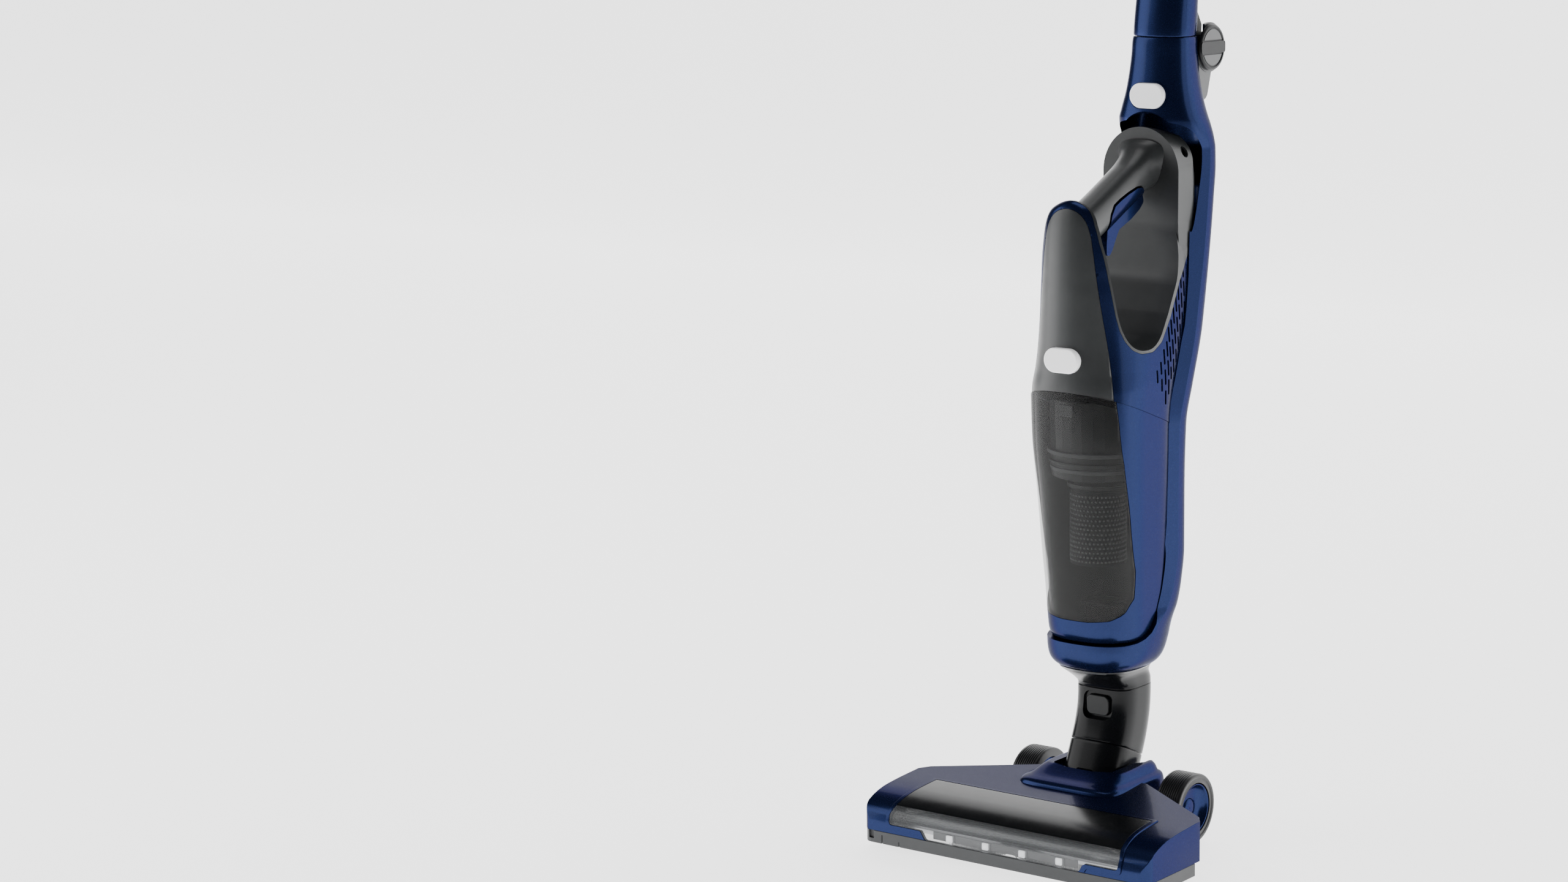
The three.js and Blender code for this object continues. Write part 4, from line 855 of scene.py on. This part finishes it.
HAND = [
    (300, 46, 82, 127, 172, 6, 2.5), (325, 46.2, 80.8, 126.4, 172, 6, 2.5), (354, 46, 80.2, 129, 178, 6, 2.4), (370, 45, 80.7, 135, 185, 6, 2.28),
    (384, 43.8, 81.5, 137, 192, 6, 2.25), (397, 42.4, 82, 137.5, 199, 6, 2.28), (414, 40.8, 82.6, 136, 208, 6, 2.3), (428, 39.8, 82.9, 134.5, 212, 6, 2.3),
    (440, 38.8, 83.3, 133, 214, 6, 2.3), (447, 38.2, 83.5, 131.4, 214, 6, 2.3), (449, 38, 83.6, 131, 214, 6, 2.3), (456, 36.8, 83.9, 128, 214, 6, 2.3),
    (463, 35.1, 84.3, 124, 214, 6, 2.3), (468, 33.6, 84.65, 120.5, 214, 6, 2.3), (471, 32.6, 84.9, 118, 160, 3, 2.3), (479, 29.2, 85.6, 111.5, 132, 2.3, 2.3),
    (486, 24.6, 86.7, 105, 122, 2.2, 2.3), (491, 19.6, 88, 101, 116, 2.2, 2.3), (495, 13, 90.2, 99.2, 111, 2.2, 2.2),
    (497.2, 7.4, 92.4, 99, 107, 2.2, 2.2), (498, 3.6, 94.6, 98.6, 104, 2.2, 2.2),
]
POD_R, WALL_R, ARCH_Z = 32.0, 34.4, 512.0


def tombstone(r, w, y0, y1):
    return prism_y([(-60, 300), (60, 300), (60, 415), (r + 6.4 - w, 428), (r + 4 - w, 440), (r + 1.2 - w, 456), (r - w, 474)] + arc(0, ARCH_Z, r - w, 0, 180, 64) + [(-r + w, 474), (-r - 1.2 + w, 456), (-r - 4 + w, 440), (-r - 6.4 + w, 428), (-60, 415)], y0, y1)


def hand_body(w):
    body = egg_loft(HAND, w)
    face = both(level_loft([
        (380, 43.5, 120, 190), (414, 38, 130, 207), (440, 34, 160, 214), (470, 32.3, 175, 217), (500, 32, 178, 219), (530, 32, 179, 214), (550, 32, 180, 206)], w, p=4),
        tombstone(POD_R, w, 100, 184.4 - w))
    neck_ = both(level_loft([(400, 36, 150, 212), (440, 33, 170, 214), (550, 31, 182, 206)], w, p=5), tombstone(30.6, w, 150, 200))
    wall = both(level_loft([
        (400, 39, 120, 200), (440, 37, 150, 214), (455, 36, 160, 216), (470, 35.2, 170, 217), (500, 34.6, 176, 219), (530, 34.4, 179, 214), (550, 34.4, 180, 206)], w, p=6),
        both(tombstone(WALL_R, w, 188.6 + w, 260), prism_x([(180, 300), (180, 547), (190, 547), (214, 538), (230, 520), (230, 300)], -60, 60)))
    return cut(join(body, face, neck_, wall), prism_x(vee(w), -70, 70))


outer_hand = hand_body(0)
inner_hand = hand_body(WALL)
SLOPE = (518 - 470) / 100


def bar_station(y, a, b):
    return (y, 470 + (y - 100) * SLOPE + 3, 90 - math.degrees(math.atan(SLOPE)), a, b, 2.5)


bar = tilted_loft([bar_station(90, 14.6, 15), bar_station(112, 14.2, 14.4), bar_station(140, 14, 14), bar_station(168, 14.2, 14.2),
                   bar_station(180, 15.4, 15.6), bar_station(187, 17.6, 17.4), bar_station(192, 21, 19.5), bar_station(196, 25, 20)])
LIP = [(94.6, 600), (94.4, 498), (93.1, 489), (92.9, 480.6), (94.1, 468), (96.3, 455), (98.7, 438.4), (100.7, 425), (102.7, 412), (105.1, 401.4),
       (109, 392.4), (115.4, 385.2), (124.4, 381.6), (139.6, 381.4), (152.6, 387.4), (168, 405), (184, 430), (203, 452), (230, 452), (230, 600)]


def rear_zone(g):
    pts = [(y - g * (y < 120), z - g * (y >= 120)) for y, z in LIP]
    return prism_x(softened(pts, 12), -60, 60)


def cover_zone(g):
    right = [(39 + g, 330), (36.6 + g, 356), (33.5 + g, 374.5), (30.6 + g, 394), (28.1 + g, 410.7), (26.2 + g, 424.8), (24.2 + g, 440),
             (22.2 + g, 457), (20 + g, 472), (17.3 + g, 481.4 + g / 2), (12.6 + g, 487.6 + g), (7.4 + g, 490.8 + g), (2.4 + g, 492.2 + g)]
    return prism_y(softened(right + [(-x, z) for x, z in reversed(right)], 24, 8), 60, 104)


BUTTON_2_Z, BUTTON_2_W, BUTTON_2_H = 378.6, 15.5, 9.5
hand_shell = both(cut(outer_hand, inner_hand), above_seam(0.15))
motor_shell = cut(hand_shell, rear_zone(GAP / 2), cover_zone(GAP))
motor_body = cut(hand_shell, rear_zone(-GAP / 2))
# slots of the air outlet: columns of upright slots, each column reaching higher than the one before
VENTS = [(143.2, 362.2, 5.0), (149.1, 368, 5), (149.1, 355, 5), (154.5, 376, 6), (154.5, 360.5, 6), (154.5, 344.8, 5.5),
         (159.3, 381.5, 6), (159.3, 367, 6), (159.3, 352.3, 6), (163.4, 392, 6), (163.4, 377, 6), (163.4, 362.5, 5),
         (167.9, 397, 6), (167.9, 382, 6), (167.9, 367.5, 5.5), (172.4, 405.5, 6.5), (172.4, 389.5, 6), (172.4, 374.5, 5.5),
         (177, 414, 6.5), (177, 398, 6), (177, 383.5, 5.5), (181.4, 422.5, 6.5), (181.4, 407, 6), (181.4, 392.5, 5.5),
         (186, 431, 6.5), (186, 415.5, 6), (186, 401, 5.5), (190.5, 438, 5.5), (190.5, 424, 6), (190.5, 409.5, 5)]
for y, z, h in VENTS:
    slot = prism_x(round_rect(y, z, 1.15, h, 1.1, 4), 24, 60)
    motor_shell = cut(motor_shell, slot, mirrored(slot))
stands_for("motor_shell", motor_shell, bevel=0.5)
stands_for("front_cover", cut(both(hand_shell, cover_zone(0)), stadium(BUTTON_2_Z, BUTTON_2_W + GAP, BUTTON_2_H + GAP, 74, 94)), bevel=0.6)
stands_for("bin_release_button", stadium(BUTTON_2_Z, BUTTON_2_W, BUTTON_2_H, 79.2, 85.6), bevel=1.2, segments=4)

rear = join(both(cut(outer_hand, inner_hand), rear_zone(-GAP / 2)), cut(both(bar, box(-30, 30, 93.5, 197, 440, 560)), both(inner_hand, box(-60, 60, 60, 110, 300, 600)), motor_body))
TRIGGER = [(127.2, 484), (131.8, 490.8), (140, 494.6), (150.1, 498.4), (162.5, 502), (169, 502.2), (173.4, 499.4), (174.6, 494.6), (176, 490.6),
           (170, 485.2), (158.7, 479), (141.8, 472.4), (137.4, 465.8), (133, 458.2), (129, 453.6), (124.6, 454), (124.6, 462), (125.6, 472)]


def trigger_zone(g, half, pressed=0.0):
    mid = (150, 481)
    pts = [(y + g * (y - mid[0]) / math.hypot(y - mid[0], z - mid[1]), z + g * (z - mid[1]) / math.hypot(y - mid[0], z - mid[1])) for y, z in TRIGGER]
    way = (-math.sin(math.radians(25.6)) * pressed, math.cos(math.radians(25.6)) * pressed)
    return prism_x(softened([(y + way[0], z + way[1]) for y, z in pts], 4), -half, half)


rear = cut(rear, trigger_zone(0.6, 17), trigger_zone(0.5, 17, 0.7), trigger_zone(0.4, 17, 1.3), rod((20, 203.6, 527.6), (1, 0, 0), 30, 4.2))
stands_for("rear_housing", rear, bevel=0.6)
wrap = both(tilted_loft([bar_station(108, 15.1, 15.1), bar_station(140, 14.9, 14.9), bar_station(168, 15.1, 15.1), bar_station(190, 16.4, 16.4)]),
            trigger_zone(0, 17))
deep = trigger_zone(0, 11.6)
stands_for("hand_trigger", join(wrap, deep), bevel=1.4, segments=4)


# ------------------------------------------------------------------ stage, light and camera
def stage_plane():
    size, wall = 9.0, 3.6
    pts = [(-2.4, 0.0), (wall - 1.2, 0.0)]
    outline = [(y, z) for y, z in [(-4.5, 0.0), (2.6, 0.0)]] + [(2.6 + 1.2 * math.sin(t), 1.2 - 1.2 * math.cos(t)) for t in np.linspace(0, math.pi / 2, 12)[1:]] + [(3.8, 5.5)]
    verts = [(x, y, z) for x in (-size, size) for y, z in outline]
    n = len(outline)
    me = bpy.data.meshes.new("floor")
    me.from_pydata(verts, [], [[i, i + 1, n + i + 1, n + i] for i in range(n - 1)])
    for f in me.polygons:
        f.use_smooth = True
    mat = bpy.data.materials.new("floor_white")
    mat.use_nodes = True
    bsdf = mat.node_tree.nodes["Principled BSDF"]
    bsdf.inputs["Base Color"].default_value = (0.93, 0.93, 0.93, 1)
    bsdf.inputs["Roughness"].default_value = 0.7
    # the glow of the backdrop fades out on the near side of the floor, as under a studio sweep lit from behind
    nt = mat.node_tree
    coord, turn = nt.nodes.new("ShaderNodeTexCoord"), nt.nodes.new("ShaderNodeVectorRotate")
    turn.rotation_type = "Z_AXIS"
    turn.inputs["Angle"].default_value = -math.radians(34)
    split, fade = nt.nodes.new("ShaderNodeSeparateXYZ"), nt.nodes.new("ShaderNodeMapRange")
    for name, value in (("From Min", -1.25), ("From Max", -0.45), ("To Min", 0.10), ("To Max", 2.1)):
        fade.inputs[name].default_value = value
    nt.links.new(coord.outputs["Object"], turn.inputs["Vector"])
    nt.links.new(turn.outputs["Vector"], split.inputs["Vector"])
    nt.links.new(split.outputs["Y"], fade.inputs["Value"])
    nt.links.new(fade.outputs["Result"], bsdf.inputs["Emission Strength"])
    bsdf.inputs["Emission Color"].default_value = (1, 1, 1, 1)
    me.materials.append(mat)
    obj = bpy.data.objects.new("floor", me)
    bpy.context.scene.collection.objects.link(obj)


def area_light(name, pos, target, size, power, color=(1, 1, 1)):
    data = bpy.data.lights.new(name, "AREA")
    data.shape, data.size, data.size_y, data.energy, data.color = "RECTANGLE", size[0], size[1], power, color
    obj = bpy.data.objects.new(name, data)
    obj.location = pos
    obj.rotation_euler = (Vector(target) - Vector(pos)).to_track_quat("-Z", "Y").to_euler()
    bpy.context.scene.collection.objects.link(obj)


stage_plane()
AZ, EL = math.radians(34), math.radians(9)
world = bpy.data.worlds.new("studio")
world.use_nodes = True
world.node_tree.nodes["Background"].inputs["Color"].default_value = (0.9, 0.93, 1, 1)
world.node_tree.nodes["Background"].inputs["Strength"].default_value = 0.10
bpy.context.scene.world = world


def around(azimuth, distance, height):
    """A place at an azimuth seen from above: 0 is in front, 90 to the object's left hand, the picture's right."""
    t = math.radians(azimuth)
    return (distance * math.sin(t), -distance * math.cos(t), height)


# a wide softbox at the front left, a slim one at the right, and one overhead
area_light("key", around(-58, 2.5, 1.0), (0, 0, 0.6), (1.9, 2.4), 46)
area_light("side", around(104, 2.6, 0.9), (0, 0, 0.6), (1.1, 2.2), 13)
area_light("top", (-0.4, 0.1, 3.0), (0, 0, 0), (1.4, 1.4), 14)

# the camera stands to the object's front right, a little above its middle, with a long lens
CAMERA_T = (1397.98, -1972.59, 765.0)
LENS_PX, CENTRE_PX = 5478.4, (1756.33, 604.12)
cam_data = bpy.data.cameras.new("camera")
cam_data.sensor_width = 36
cam_data.lens = LENS_PX * 36 / 2560
cam_data.shift_x = 0.5 - CENTRE_PX[0] / 2560
cam_data.shift_y = (CENTRE_PX[1] - 720) / 2560
cam = bpy.data.objects.new("camera", cam_data)
cam.location = (CAMERA_T[0] / 1000, (CAMERA_T[1] - SHIFT_Y) / 1000, CAMERA_T[2] / 1000)
look = Vector((-math.sin(AZ) * math.cos(EL), math.cos(AZ) * math.cos(EL), -math.sin(EL)))
cam.rotation_euler = look.to_track_quat("-Z", "Y").to_euler()
bpy.context.scene.collection.objects.link(cam)
bpy.context.scene.camera = cam
